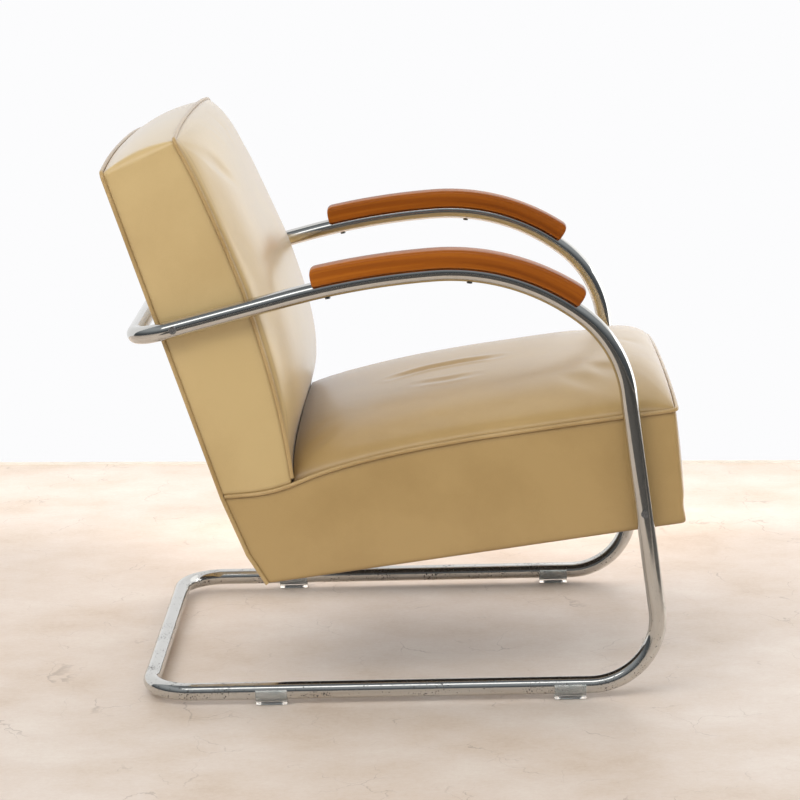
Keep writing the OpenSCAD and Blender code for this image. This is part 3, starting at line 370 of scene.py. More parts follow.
def makePadWood():
    # steam-bent beech, stained and varnished: straight grain along the bend under a clear gloss coat
    material, tree = newMaterial("varnishedBentBeech")
    grain = addNode(tree, "ShaderNodeAttribute", attribute_name="grain").outputs["Vector"]
    longways = addNode(tree, "ShaderNodeMapping", {"Vector": grain, "Scale": (3.0, 110.0, 160.0)})
    fibre = addNode(tree, "ShaderNodeTexNoise",
                    {"Vector": longways, "Scale": 1.0, "Detail": 5.0, "Distortion": 0.4})
    broad = addNode(tree, "ShaderNodeMapping", {"Vector": grain, "Scale": (1.2, 26.0, 34.0)})
    band = addNode(tree, "ShaderNodeTexNoise",
                   {"Vector": broad, "Scale": 1.0, "Detail": 2.0, "Distortion": 0.8})
    short = addNode(tree, "ShaderNodeMapping", {"Vector": grain, "Scale": (120.0, 900.0, 900.0)})
    flake = addNode(tree, "ShaderNodeTexNoise", {"Vector": short, "Scale": 1.0})
    tone = addNode(tree, "ShaderNodeMath", {0: fibre, 1: 0.5, 2: band}, operation="MULTIPLY_ADD")
    wood = addNode(tree, "ShaderNodeValToRGB", {"Fac": tone},
                   stops=((0.5, "#743807"), (0.72, "#98520F"), (0.95, "#B66A1C")))
    flecks = addNode(tree, "ShaderNodeValToRGB", {"Fac": flake}, stops=((0.60, 0.0), (0.72, 0.35)))
    colour = addNode(tree, "ShaderNodeMix", {0: flecks, 6: wood, 7: "#7A3A12"}, data_type="RGBA")
    bump = addNode(tree, "ShaderNodeBump", {"Height": fibre, "Strength": 0.08, "Distance": 0.0004})
    shader = addNode(tree, "ShaderNodeBsdfPrincipled",
                     {"Base Color": colour.outputs[2], "Roughness": 0.5, "Normal": bump,
                      "IOR": 1.5, "Specular IOR Level": 0.1, "Coat Weight": 0.34, "Coat Roughness": 0.12})
    addNode(tree, "ShaderNodeOutputMaterial", {"Surface": shader})
    return material


def makePlain(name, hexes, scale, roughness, metallic=0.0, stretch=(1, 1, 1), bumpDepth=0.0003, clear=0.0):
    # one noise drives the colour, the gloss and a fine relief; stretch makes it run one way
    material, tree = newMaterial(name)
    place = addNode(tree, "ShaderNodeTexCoord").outputs["Object"]
    along = addNode(tree, "ShaderNodeMapping", {"Vector": place, "Scale": stretch})
    grit = addNode(tree, "ShaderNodeTexNoise", {"Vector": along, "Scale": scale, "Detail": 4.0})
    colour = addNode(tree, "ShaderNodeValToRGB", {"Fac": grit}, stops=((0.35, hexes[0]), (0.65, hexes[1])))
    rough = addNode(tree, "ShaderNodeMapRange",
                    {"Value": grit, "To Min": roughness * 0.85, "To Max": roughness * 1.15})
    bump = addNode(tree, "ShaderNodeBump", {"Height": grit, "Strength": 0.25, "Distance": bumpDepth})
    shader = addNode(tree, "ShaderNodeBsdfPrincipled",
                     {"Base Color": colour, "Roughness": rough, "Metallic": metallic,
                      "Transmission Weight": clear, "Normal": bump})
    addNode(tree, "ShaderNodeOutputMaterial", {"Surface": shader})
    return material


def makeCloth(name, warp, weft, pitch):
    # plain weave: warp and weft threads a pitch apart, in millimetres
    material, tree = newMaterial(name)
    place = addNode(tree, "ShaderNodeTexCoord").outputs["Object"]
    split = addNode(tree, "ShaderNodeSeparateXYZ", {"Vector": place})
    lengthways = addNode(tree, "ShaderNodeMath",
                         {0: split.outputs["X"], 1: split.outputs["Z"]}, operation="ADD")
    threads = []
    for source in (lengthways, split.outputs["Y"]):
        turn = addNode(tree, "ShaderNodeMath", {0: source, 1: math.pi / (pitch * mm)}, operation="MULTIPLY")
        wave = addNode(tree, "ShaderNodeMath", {0: turn}, operation="SINE")
        threads.append(addNode(tree, "ShaderNodeMath", {0: wave}, operation="ABSOLUTE"))
    over = addNode(tree, "ShaderNodeMath", {0: threads[0], 1: threads[1]}, operation="GREATER_THAN")
    colour = addNode(tree, "ShaderNodeMix", {0: over, 6: warp, 7: weft}, data_type="RGBA")
    relief = addNode(tree, "ShaderNodeMath", {0: threads[0], 1: threads[1]}, operation="MAXIMUM")
    bump = addNode(tree, "ShaderNodeBump", {"Height": relief, "Strength": 0.6, "Distance": 0.0004})
    shader = addNode(tree, "ShaderNodeBsdfPrincipled",
                     {"Base Color": colour.outputs[2], "Roughness": 0.9, "Normal": bump, "Sheen Weight": 0.2})
    addNode(tree, "ShaderNodeOutputMaterial", {"Surface": shader})
    return material


finish = {
    "chrome": makeChrome(),
    # one hide in two copies: the back's is painted lighter, as painted light, and the seat's darker, as
    # painted shade
    "seatLeatherShaded": makeLeather("seatHideShaded", "#B69863", "#AC8E5A", 0.7),
    "backLeatherLit": makeLeather("backHideLit", "#CDB27C", "#C4A873", 1.0),
    "pipingLeather": makeLeather("pipingHide", "#BC9E6B", "#A88853", 0.8),
    "padWood": makePadWood(),
    # zinc-plated mild steel, dulled by handling
    "steel": makePlain("dullZincPlate", ("#77797C", "#9B9DA0"), 300, 0.42, 1.0),
    # nickel-plated screw heads, as bright as the tube
    "bolt": makePlain("brightNickelPlate", ("#B4B7BB", "#CDD0D4"), 240, 0.18, 1.0),
    # copper-washed spring wire, drawn lengthways
    "spring": makePlain("drawnSpringWire", ("#5B544C", "#7C746A"), 400, 0.4, 1.0),
    "tack": makePlain("bluedTackIron", ("#4A4038", "#6E6258"), 500, 0.5, 1.0),
    # sawn beech, raw: fine pores along the plank
    "beech": makePlain("sawnBeech", ("#B98F62", "#D0A97C"), 60, 0.7, 0.0, (1, 6, 6), 0.0004),
    # clear PVC glide, scuffed on the floor
    "clearPlastic": makePlain("scuffedClearVinyl", ("#DDE3E3", "#F2F4F3"), 120, 0.22, 0.0, clear=0.85),
    "screedJoint": makePlain("limeJoint", ("#DDD7CC", "#E6E0D6"), 30, 0.8),
    "studioCloth": makePlain("greyMolton", ("#4E4B47", "#5A5652"), 40, 0.9),
    "glidePad": makePlain("slateGreyNylon", ("#55656F", "#6D7E88"), 180, 0.5),
    "webbing": makeCloth("juteWebbing", "#8E7A55", "#A58F66", 2.4),
    "calico": makeCloth("unbleachedCalico", "#D9CDB4", "#E4DAC4", 1.2),
    "cambric": makeCloth("blackCambric", "#2A2724", "#35312D", 1.0),
}
nodeFinish = {
    "chrome": ("floor_tube_right", "floor_tube_left", "front_bend_right", "front_bend_left", "upper_tube"),
    "steel": ("floor_sleeve", "floor_pins", "pad_screws", "body_spacers", "body_washers", "body_nuts"),
    "bolt": ("seat_bolts", "back_bolts"),
    "spring": ("seat_springs",),
    "tack": ("rear_tacks",),
    "padWood": ("arm_pad_right", "arm_pad_left"),
    "clearPlastic": ("glide_front_right", "glide_front_left", "glide_rear_right", "glide_rear_left"),
    "glidePad": ("insert_front_right", "insert_front_left", "insert_rear_right", "insert_rear_left"),
    "beech": ("seat_rail_right", "seat_rail_left", "seat_rail_front", "seat_rail_rear", "corner_blocks",
              "back_stile_right", "back_stile_left", "back_rail_top", "back_rail_lower"),
    "webbing": ("seat_webbing", "back_webbing", "seat_hessian"),
    "calico": ("seat_stuffing", "back_stuffing"),
    "seatLeatherShaded": ("seat_cover", "seat_side_right", "seat_side_left", "seat_front_border"),
    "backLeatherLit": ("back_cover", "back_boxing", "rear_panel"),
    "pipingLeather": ("seat_piping", "back_piping_front", "back_piping_rear"),
    "cambric": ("dust_cover",),
}
for key, names in nodeFinish.items():
    for name in names:
        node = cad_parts[name]
        node.data.materials.clear()
        node.data.materials.append(finish[key])
print("materials made:", len(finish))


def newTree(name, inputs):
    # a Geometry Nodes tree with named inputs and one output
    tree = bpy.data.node_groups.new(name, "GeometryNodeTree")
    for label, kind in inputs.items():
        tree.interface.new_socket(label, in_out="INPUT", socket_type="NodeSocket" + kind)
    tree.interface.new_socket("Piece", in_out="OUTPUT", socket_type="NodeSocketGeometry")
    return tree, addNode(tree, "NodeGroupInput")


def endTree(tree, shape, material):
    real = addNode(tree, "GeometryNodeRealizeInstances", {"Geometry": shape})
    dressed = addNode(tree, "GeometryNodeSetMaterial", {"Geometry": real, "Material": material})
    addNode(tree, "NodeGroupOutput", {"Piece": dressed})


def roundTree():
    # a round section swept along a path, for the tube and the piping
    tree, start = newTree("roundAlongPath",
                          {"Path": "Geometry", "Radius": "Float", "Sides": "Int", "Finish": "Material"})
    line = addNode(tree, "GeometryNodeMeshToCurve", {"Mesh": start.outputs["Path"]})
    section = addNode(tree, "GeometryNodeCurvePrimitiveCircle",
                      {"Resolution": start.outputs["Sides"], "Radius": start.outputs["Radius"]})
    skin = addNode(tree, "GeometryNodeCurveToMesh",
                   {"Curve": line, "Profile Curve": section, "Fill Caps": True})
    endTree(tree, skin, start.outputs["Finish"])
    return tree


roundAlongPath = roundTree()


def runTree(piece, tree, values):
    modifier = piece.modifiers.new("shape", "NODES")
    modifier.node_group = tree
    for item in tree.interface.items_tree:
        if item.name in values:
            modifier[item.identifier] = values[item.name]
    flatten(piece)


def roundPiece(name, route, radius, sides, material):
    piece = meshPiece(name, route, [], None, False, [(i, i + 1) for i in range(len(route) - 1)])
    runTree(piece, roundAlongPath, {"Radius": radius * mm, "Sides": sides, "Finish": material})
    turnOutwards(piece)
    # smooth round the section, flat on the caps
    piece.data.polygons.foreach_set("use_smooth", [len(p.vertices) < 5 for p in piece.data.polygons])
    return piece


chromeTube = roundPiece("chromeTube", tubeRoute(), tube["diameter"] / 2, tube["sides"], finish["chrome"])
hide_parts("floor_tube_right", "floor_tube_left", "front_bend_right", "front_bend_left",
            "upper_tube")
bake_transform(chromeTube)
print("tube bent:", len(chromeTube.data.polygons), "faces")


pad = {
    "width": 36, "thickness": 25, "lift": 8, "crown": 0.8, "grooveGap": 0.075,
    "topRadius": 5, "bottomRadius": 2.5, "endRadius": 9,
    "front": 54.5, "rear": 102.1,  # angles on the arm's second and third arcs
    "endEase": 2.2, "easeLength": 2.5, "step": 5,
    "gripLine": 20,  # height over the tube's centre line at which lengths are measured
    "endMarks": (0, 0.4, 1.2, 2.5, 4, 6, 8, 10), "endLength": 12,
    "grooveSteps": 9, "bottomSteps": 6, "topSteps": 8, "flatSteps": 5,
    "radiusLimit": 0.45,  # of the height, where an end is rounded over
}


def padSection(low, high, ease):
    # half outline from the groove over the tube, up the side and across the top; ease draws it in at the ends
    half = pad["width"] / 2 - ease
    low, high = low + ease / 2, high - ease
    groove = tube["diameter"] / 2 + pad["grooveGap"]
    reach = math.acos(min(1.0, low / groove))
    places = [(groove * math.cos(a), groove * math.sin(a)) for a in np.linspace(0, reach, pad["grooveSteps"])]
    r = pad["bottomRadius"]
    places += [(low + r - r * c, half - r + r * s) for c, s in quarter(pad["bottomSteps"])]
    r = min(pad["topRadius"], (high - low) * pad["radiusLimit"])
    places += [(high - r + r * s, half - r + r * c) for c, s in quarter(pad["topSteps"])]
    flat = half - r
    top = np.linspace(flat, 0, pad["flatSteps"])[1:]
    places += [(high + pad["crown"] * (1 - (t / flat) ** 2), t) for t in top]
    return places + [(x, -y) for x, y in places[-2:0:-1]]


def padStations():
    # centres, radii and angles from the front end to the rear one
    stations = []
    for arc, first, last, closing in ((armArcs[1], pad["front"], armArcs[1][3], 0),
                                      (armArcs[2], armArcs[2][2], pad["rear"], 1)):
        centre, radius = arc[:2]
        count = int(math.radians(last - first) * radius / pad["step"])
        stations += [(centre, radius, first + (last - first) * i / count) for i in range(count + closing)]
    return stations


def armPad(name, side):
    stations = padStations()
    grip = [polar(centre, radius + pad["gripLine"], angle) for centre, radius, angle in stations]
    lengths = [0.0]
    for a, b in zip(grip, grip[1:]):
        lengths.append(lengths[-1] + float(np.linalg.norm(b - a)))
    total, ends = lengths[-1], pad["endMarks"]
    marks = [*ends, *(s for s in lengths if pad["endLength"] < s < total - pad["endLength"]),
             *(total - e for e in ends[::-1])]
    rings, grain = [], []
    for mark in marks:
        i = min(len(lengths) - 2, max(0, int(np.searchsorted(lengths, mark)) - 1))
        if lengths[i + 1] - lengths[i] < 1e-6:
            i += 1
        t = (mark - lengths[i]) / (lengths[i + 1] - lengths[i])
        (c0, r0, a0), (c1, r1, a1) = stations[i], stations[i + 1]
        # both ends are rounded over and drawn in a little
        inset, drop = min(mark, total - mark), pad["endRadius"]
        high = pad["lift"] + pad["thickness"]
        if inset < drop:
            high -= drop - math.sqrt(drop ** 2 - (drop - inset) ** 2)
        ease = pad["endEase"] * max(0.0, 1 - inset / pad["easeLength"]) ** 2
        ring = []
        for out, across in padSection(pad["lift"], high, ease):
            # arcs turn about their own centres and meet with one tangent
            p = polar(c0, r0 + out, a0) * (1 - t) + polar(c1, r1 + out, a1) * t
            ring.append(at(p, side * halfWidth + across))
            grain.append((mark * mm, across * mm, out * mm))
        rings.append(ring)
    size = len(rings[0])
    faces = []
    for i in range(len(rings) - 1):
        for k in range(size):
            a, b = i * size + k, i * size + (k + 1) % size
            faces.append((a, b, b + size, a + size))
    # the ends close with strips from side to side, so no long sliver shades wrongly
    for base in (0, (len(rings) - 1) * size):
        for k in range(size // 2):
            a, b = base + k, base + k + 1
            c, d = base + (size - k - 1) % size, base + (size - k) % size
            faces.append((a, b, c) if k == 0 else (a, b, d) if b == c else (a, b, c, d))
    piece = meshPiece(name, [p for ring in rings for p in ring], faces, finish["padWood"])
    attribute = piece.data.attributes.new("grain", "FLOAT_VECTOR", "POINT")
    attribute.data.foreach_set("vector", [v for g in grain for v in g])
    turnOutwards(piece)
    return piece


for name, side, node in (("armPadRight", -1, "arm_pad_right"), ("armPadLeft", 1, "arm_pad_left")):
    piece = armPad(name, side)
    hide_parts(node)
    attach(piece, "chair")
print("arm pads shaped")


# what every seam of the upholstery shows, with the painted shade along it and in the tuck
seams = {
    "soilAndShadeReach": 2.5, "stitchSoil": 0.5, "stitchWidth": 1.2,
    "tuckShade": ((0.75, 18), (0.4, 85)),  # shares of the painted shade in the tuck, and how far each reaches
    "lipPlace": 1.9, "lipSpread": 0.6, "foldEnd": 0.02,  # of a crease, in its half widths and its length
}


def skins(stations, columns, place):
    # place gives the outer and the inner point at a station and a share of the way across
    shares = evenly(columns)
    return np.array([[place(station, share) for share in shares] for station in stations], float)


def evenly(count):
    return [i / count for i in range(count + 1)]


def closedPad(name, grid, layers, material, stitch=0, tuck=None):
    # a closed skin from an outer grid, an inner one and walls between their edges
    outer, inner = grid[:, :, 0], grid[:, :, 1]
    rows, columns = outer.shape[:2]
    count = rows * columns
    index = np.arange(count).reshape(rows, columns)
    below = index + count
    points = [tuple(p) for p in outer.reshape(-1, 3)] + [tuple(p) for p in inner.reshape(-1, 3)]
    faces = []
    for i in range(rows - 1):
        for j in range(columns - 1):
            faces.append((index[i, j], index[i + 1, j], index[i + 1, j + 1], index[i, j + 1]))
            faces.append((below[i, j], below[i, j + 1], below[i + 1, j + 1], below[i + 1, j]))
    loop = ([(0, j) for j in range(columns)] + [(i, columns - 1) for i in range(1, rows)]
            + [(rows - 1, j) for j in range(columns - 2, -1, -1)] + [(i, 0) for i in range(rows - 2, 0, -1)])
    rings = [[index[p] for p in loop]]
    for k in range(1, layers):
        rings.append(list(range(len(points), len(points) + len(loop))))
        points += [tuple(outer[p] * (1 - k / layers) + inner[p] * (k / layers)) for p in loop]
    rings.append([below[p] for p in loop])
    for upper, lower in zip(rings, rings[1:]):
        for k in range(len(loop)):
            n = (k + 1) % len(loop)
            faces.append((upper[k], upper[n], lower[n], lower[k]))
    piece = meshPiece(name, points, [tuple(int(v) for v in f) for f in faces], material)
    # how near each place is to a seam, for the line of soil and painted seam shade along it
    across = np.pad(np.cumsum(np.linalg.norm(np.diff(outer, axis=1), axis=2), 1), ((0, 0), (1, 0)))
    along = np.pad(np.cumsum(np.linalg.norm(np.diff(outer, axis=0), axis=2), 0), ((1, 0), (0, 0)))
    near = np.minimum(np.minimum(across, across[:, -1:] - across), np.minimum(along, along[-1:] - along))
    # seam soil together with painted seam shade, darker within a few millimetres of every edge
    soilAndShade = np.exp(-near / seams["soilAndShadeReach"])
    if stitch:
        # the row of stitches that holds the piping shows as a fine line beside it
        soilAndShade += seams["stitchSoil"] * np.exp(-((across - stitch) / seams["stitchWidth"]) ** 2)
    if tuck:
        # painted shade darkens the hide where seat and back meet, in the tuck
        row, depth = tuck
        for share, reach in seams["tuckShade"]:
            soilAndShade += depth * share * np.exp(-np.abs(along - along[row]) / reach)
    hidden = len(points) - count
    attribute = piece.data.attributes.new("seam", "FLOAT", "POINT")
    attribute.data.foreach_set("value", np.concatenate([soilAndShade.reshape(-1), np.ones(hidden)]))
    turnOutwards(piece)
    held = {int(index[p]) for p in loop} | set(range(count, len(points)))
    return piece, sorted(held), np.concatenate([near.reshape(-1), np.zeros(hidden)])


def inflate(piece, held, near, cushion):
    # the cover is cut a little larger than its pad and blown up against its seams, which stay where they are
    before = readPlaces(piece)
    group = piece.vertex_groups.new(name="sewn")
    group.add(held, 1.0, "REPLACE")
    cover = piece.modifiers.new("cover", "CLOTH")
    settings = cover.settings
    settings.quality = cushion["quality"]
    settings.mass = cushion["mass"]
    settings.tension_stiffness = cushion["stiffness"]
    settings.compression_stiffness = cushion["stiffness"]
    settings.shear_stiffness = cushion["stiffness"] / 2
    settings.bending_stiffness = cushion["bending"]
    settings.use_pressure = True
    settings.uniform_pressure_force = cushion["pressure"]
    settings.shrink_min = -cushion["slack"]
    settings.shrink_max = -cushion["slack"]
    settings.effector_weights.gravity = 0
    settings.vertex_group_mass = "sewn"
    cover.collision_settings.use_collision = False
    cover.point_cache.frame_start = 1
    cover.point_cache.frame_end = cushion["frames"]
    for step in range(1, cushion["frames"] + 1):
        scene.frame_set(step)
    flatten(piece)
    scene.frame_set(1)
    move = readPlaces(piece) - before
    size = np.maximum(np.linalg.norm(move, axis=1, keepdims=True), 1e-9)
    limit = cushion["limit"] * mm
    # a row of stitches keeps the cover flat beside its seams
    free = (1 - np.exp(-(near / cushion["flatBeside"]) ** 2))[:, None]
    move = free * move / size * limit * np.tanh(size / limit)
    writePlaces(piece, before + move)
    piece.vertex_groups.clear()
    print(piece.name, "inflated, mean move", round(float(np.linalg.norm(move, axis=1).mean()) / mm, 2), "mm")


def refine(piece):
    divide = piece.modifiers.new("divide", "SUBSURF")
    divide.levels = 1
    divide.render_levels = 1
    flatten(piece)
    smooth(piece)


def press(piece, folds, outward):
    # creases and hollows: each fold has its places, its half width and its depth, all in millimetres
    places = readPlaces(piece) / mm
    shift = np.zeros(len(places))
    for fold in folds:
        route = [np.array(p, float) for p in fold["places"]]
        total = sum(np.linalg.norm(b - a) for a, b in zip(route, route[1:]))
        best, share, run = np.full(len(places), np.inf), np.zeros(len(places)), 0.0
        for a, b in zip(route, route[1:]):
            d = b - a
            t = np.clip(((places - a) @ d) / (d @ d), 0, 1)
            gap = np.linalg.norm(places - (a + t[:, None] * d), axis=1)
            share = np.where(gap < best, (run + t * np.linalg.norm(d)) / total, share)
            best = np.minimum(best, gap)
            run += np.linalg.norm(d)
        # a valley with a low lip on each side, fading out at both ends
        fade = np.sin(np.pi * np.clip(share, seams["foldEnd"], 1 - seams["foldEnd"])) ** 0.5
        w = best / fold["width"]
        lip = fold["lip"] * np.exp(-((w - seams["lipPlace"]) ** 2) / seams["lipSpread"])
        shift += fold["depth"] * fade * (np.exp(-w ** 2) - lip)
    writePlaces(piece, (places - shift[:, None] * np.array(outward)) * mm)


def makeCushion(name, place, cushion, material, onSkin, outward):
    grid = skins(evenly(cushion["rows"]), cushion["columns"], place)
    piece, held, near = closedPad(name, grid, cushion["layers"], material, cushion["stitch"],
                                  (cushion["tuckRow"], cushion["tuckShade"]))
    inflate(piece, held, near, cushion)
    refine(piece)
    folds = [dict(fold, places=[onSkin(*p) for p in fold["places"]]) for fold in cushion["folds"]]
    press(piece, folds, outward)
    return piece


def eased(share):
    # rows draw together at both ends, where the cover turns down
    return share - cushionCover["gather"] * math.sin(2 * math.pi * share)


def spread(share):
    # and columns at both sides
    return math.sin(math.pi / 2 * (2 * share - 1))


# what both cushions share: their grid, their size over the core and the cloth they are inflated as
cushionCover = {
    "rows": 92, "columns": 84, "half": 265.4, "lift": 1.6, "crownShare": 0.97, "coreHalf": 262, "coreGap": 1,
    "quality": 6, "mass": 0.4, "pressure": 4.0, "stiffness": 12.0, "bending": 2.0, "slack": 0.002,
    "frames": 20, "gather": 0.13,
}
backPad = {
    # its tuck value is the depth of the painted shade where seat and back meet
    **cushionCover, "layers": 8, "limit": 3.0, "flatBeside": 55, "stitch": 9, "tuckRow": -1, "tuckShade": 1.2,
    "foot": -6, "topGap": 0.3, "coreDrop": 5, "riseCurve": 4,
    "leftFull": 9, "fullPlace": 48, "fullWidth": 38, "fullSide": 1.3,
    # a shallow dent under the sitter's arm: places up and across the back
    "folds": ({"places": ((292, -222), (285, -150), (278, -60)), "width": 9, "depth": 0.6, "lip": 0.0},),
}


def backUp(flat, side):
    # how far the cover stands forward of the back's rear face; its foot is fuller on the left
    full = (backPad["leftFull"] * math.exp(-((flat - backPad["fullPlace"]) / backPad["fullWidth"]) ** 2)
            * min(1.0, max(0.0, backPad["fullSide"] * side)))
    return (backLine(flat) + backPad["lift"] + hump(side) * full
            + body["backCrown"] * backPad["crownShare"] * hump(side)
            * smoothed(backCrownShares, flat / backLength) * roll((backLength - flat) / body["topRoll"]))


def backPair(down, share):
    side, up = spread(share), 1 - eased(down)
    foot, top = backPad["foot"], backLength - backPad["topGap"]
    flat = foot + (top - foot) * up
    rise = body["topRise"] * arch(side * halfCore) * up ** backPad["riseCurve"]
    forward = backUp(flat, side) if down else backLine(flat) + backPad["lift"]
    core = foot + (top - backPad["coreDrop"] - foot) * up + rise
    return (at(backPlace(flat + rise, forward), backPad["half"] * side),
            at(backPlace(core, body["webbingFront"] + backPad["coreGap"]), backPad["coreHalf"] * side))


def onBack(up, across):
    return at(backPlace(up, backUp(up, across / backPad["half"])), across)


backCushion = makeCushion("backCushion", backPair, backPad, finish["backLeatherLit"], onBack,
                          at(turned((1, 0), body["backTilt"]), 0))
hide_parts("back_cover", "back_stuffing")
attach(backCushion, "chair")
print("back cushion made")


seatPad = {
    # its tuck value is the depth of the painted shade where seat and back meet
    **cushionCover, "layers": 10, "limit": 2.5, "flatBeside": 45, "stitch": 0, "tuckRow": 0, "tuckShade": 2.2,
    "edgeBack": 1.4, "coreFront": 598, "frontCurve": 14,
    "tuckGap": 0.6, "backGap": 0.5, "tuckRise": 5.0, "risePlace": 75, "riseWidth": 55,
    "probeFrom": 320, "probeStart": 250, "probeLength": 400, "tuckReach": 26, "foldLift": 1,
    # soft folds where sitters crease it: places along and across the seat
    "folds": (
        {"places": ((212, -10), (240, 0), (266, 9), (315, 13), (372, 10)),
         "width": 9, "depth": 3.4, "lip": 0.5},
        {"places": ((250, -82), (292, -88), (336, -85)), "width": 9, "depth": 1.5, "lip": 0.4},
    ),
}
backSkin = BVHTree.FromPolygons([v.co for v in backCushion.data.vertices],
                                [tuple(p.vertices) for p in backCushion.data.polygons])
intoBack = Vector(at(turned((-1, 0), body["backTilt"]), 0))
rearward = Vector(at(turned((-1, 0), body["seatTilt"]), 0))


def seatUp(along, side, lift):
    share = max(0.0, along / seatDepth) ** seatPad["frontCurve"]
    rise = math.exp(-((along - seatPad["risePlace"]) / seatPad["riseWidth"]) ** 2)
    return (seatLine(along) + lift + body["frontRise"] * arch(side * halfCore) * share
            + seatPad["tuckRise"] * hump(side) * rise
            + body["seatCrown"] * seatPad["crownShare"] * hump(side)
            * roll((topFront - along) / body["frontRoll"]))


def clearOfBack(place):
    # a place that would sink into the back cushion moves forward out of it
    gap, reach = seatPad["backGap"] * mm, seatPad["probeStart"] * mm
    hit, _, _, distance = backSkin.ray_cast(Vector(place) - intoBack * reach, intoBack,
                                            seatPad["probeLength"] * mm)
    return tuple(place) if hit is None or distance > reach + gap else tuple(hit - intoBack * gap)


def tuckPlace(up, across):
    # how far back the seat reaches at this height: to the back cushion, or to the tuck line beside it
    first = seatPad["probeFrom"]
    start = Vector(at(seatPlace(first, up), across)) * mm
    hit, _, _, distance = backSkin.ray_cast(start, rearward, seatPad["probeLength"] * mm)
    plain = tuckLine(up)
    if hit is None:
        return plain
    return min(plain, max(first - distance / mm + seatPad["tuckGap"], plain - seatPad["tuckReach"]))


def seatPair(ahead, share):
    side, part = spread(share), eased(ahead)
    half, lift = seatPad["half"], seatPad["lift"]
    rear = tuckPlace(seatUp(tuckLine(seatHeight), side, lift), half * side)
    edge = topFront - seatPad["edgeBack"] + body["frontBow"] * arch(side * half)
    along = rear + (edge - rear) * part
    up = seatUp(along, side, lift)
    if ahead == 1:
        up = seatLine(along) + lift + body["frontRise"] * arch(side * half)
    coreRear = tuckLine(body["hessianTop"])
    core = coreRear + (seatPad["coreFront"] - coreRear) * part
    return (at(seatPlace(along, up), half * side),
            at(seatPlace(core, body["hessianTop"] + seatPad["coreGap"]), seatPad["coreHalf"] * side))


def onSeat(along, across):
    return at(seatPlace(along, seatUp(along, across / seatPad["half"], seatPad["foldLift"])), across)


seatCushion = makeCushion("seatCushion", seatPair, seatPad, finish["seatLeatherShaded"], onSeat,
                          at(turned((0, 1), body["seatTilt"]), 0))
writePlaces(seatCushion, np.array([clearOfBack(p) for p in readPlaces(seatCushion)]))
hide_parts("seat_cover", "seat_stuffing")
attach(seatCushion, "chair")
print("seat cushion made")


def stationsRound(sideSteps, cornerSteps, middleSteps):
    # along one side, round its corner, across the middle, and the same way on the far side
    near = [("side", 1, a) for a in np.linspace(0, 1, sideSteps + 1)]
    near += [("corner", 1, a) for a in np.linspace(0, 90, cornerSteps)[1:-1]]
    middle = [("middle", 1, a) for a in np.linspace(1, -1, middleSteps + 1)]
    return near + middle + [(kind, -1, a) for kind, _, a in near[::-1]]


def wobble(wave, along, across, seed):
    # unevenness of stretched hide: a wave has its length, its turns across the strip and its depth
    length, turns, depth = wave
    return depth * noise.noise(Vector((along / length, across * turns, seed)))


def puffed(share):
    return math.sin(math.pi * min(1, max(0, share))) ** 0.7


border = {
    "corner": 9, "thick": 4, "rows": 22, "sideSteps": 84, "cornerSteps": 9, "frontSteps": 76,
    "rearInset": 4.1, "seamDrop": 1.5, "sideRear": -36, "skinGap": 0.4, "coreGap": 0.5,
    "hemPinch": 2.0, "hemPlace": 0.14, "hemWidth": 0.06,
    "sidePuff": 2.6, "puffCurve": 6, "sideWave": (90, 1.3, 0.9), "frontWave": (110, 1.5, 1.2),
}
borderReach = halfBody - border["corner"]


def rearAlong(up):
    ups = [share[1] * seatHeight for share in rearEdgeShares]
    alongs = [share[0] * seatHeight for share in rearEdgeShares]
    if up > ups[-1]:
        return alongs[-1] - (up - ups[-1]) * math.tan(math.radians(body["backTilt"] - body["seatTilt"]))
    return float(np.interp(up, ups, alongs))


def frontAlong(share, across):
    return (seatDepth + (body["frontLean"] + body["frontBow"] * arch(across)) * share
            + body["frontBulge"] * hump(across / borderReach) * puffed(share)
            - border["hemPinch"] * math.exp(-((share - border["hemPlace"]) / border["hemWidth"]) ** 2))


def borderPair(station, share):
    kind, sign, value = station
    radius, thick = border["corner"], border["thick"]
    swell = math.sin(math.pi * share)
    if kind == "side":
        first = border["sideRear"]
        up = share * (seatLine(first + (seatDepth - radius - first) * value) - border["seamDrop"])
        rear = rearAlong(up) + border["rearInset"]
        along = innerAlong = rear + (frontAlong(share, halfBody) - radius - rear) * value
        puff = border["sidePuff"] * puffed(share) * (1 - abs(2 * value - 1) ** border["puffCurve"])
        puff += wobble(border["sideWave"], along, share, 6 - 3 * sign) * swell
        across, innerAcross = halfBody - border["skinGap"] + puff, halfCore - border["coreGap"]
    else:
        if kind == "corner":
            c, s = math.cos(math.radians(value)), math.sin(math.radians(value))
            across = borderReach + (radius - border["skinGap"]) * c
            along = frontAlong(share, halfBody) - radius + radius * s
            innerAcross, innerAlong = borderReach + (radius - thick) * c, along - thick * s
        else:
            across = innerAcross = borderReach * value
            along = frontAlong(share, across)
            along += wobble(border["frontWave"], across, share, 5) * swell * hump(value)
            innerAlong = frontAlong(share, halfBody) - thick
        up = share * (seatLine(seatDepth) + body["frontRise"] * arch(across) - border["seamDrop"])
    return at(seatPlace(along, up), sign * across), at(seatPlace(innerAlong, up), sign * innerAcross)


borderStations = stationsRound(border["sideSteps"], border["cornerSteps"], border["frontSteps"])
seatBorder = closedPad("seatBorder", skins(borderStations, border["rows"], borderPair), 1,
                       finish["seatLeatherShaded"])[0]
refine(seatBorder)
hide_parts("seat_side_right", "seat_side_left", "seat_front_border")
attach(seatBorder, "chair")
print("seat border made")


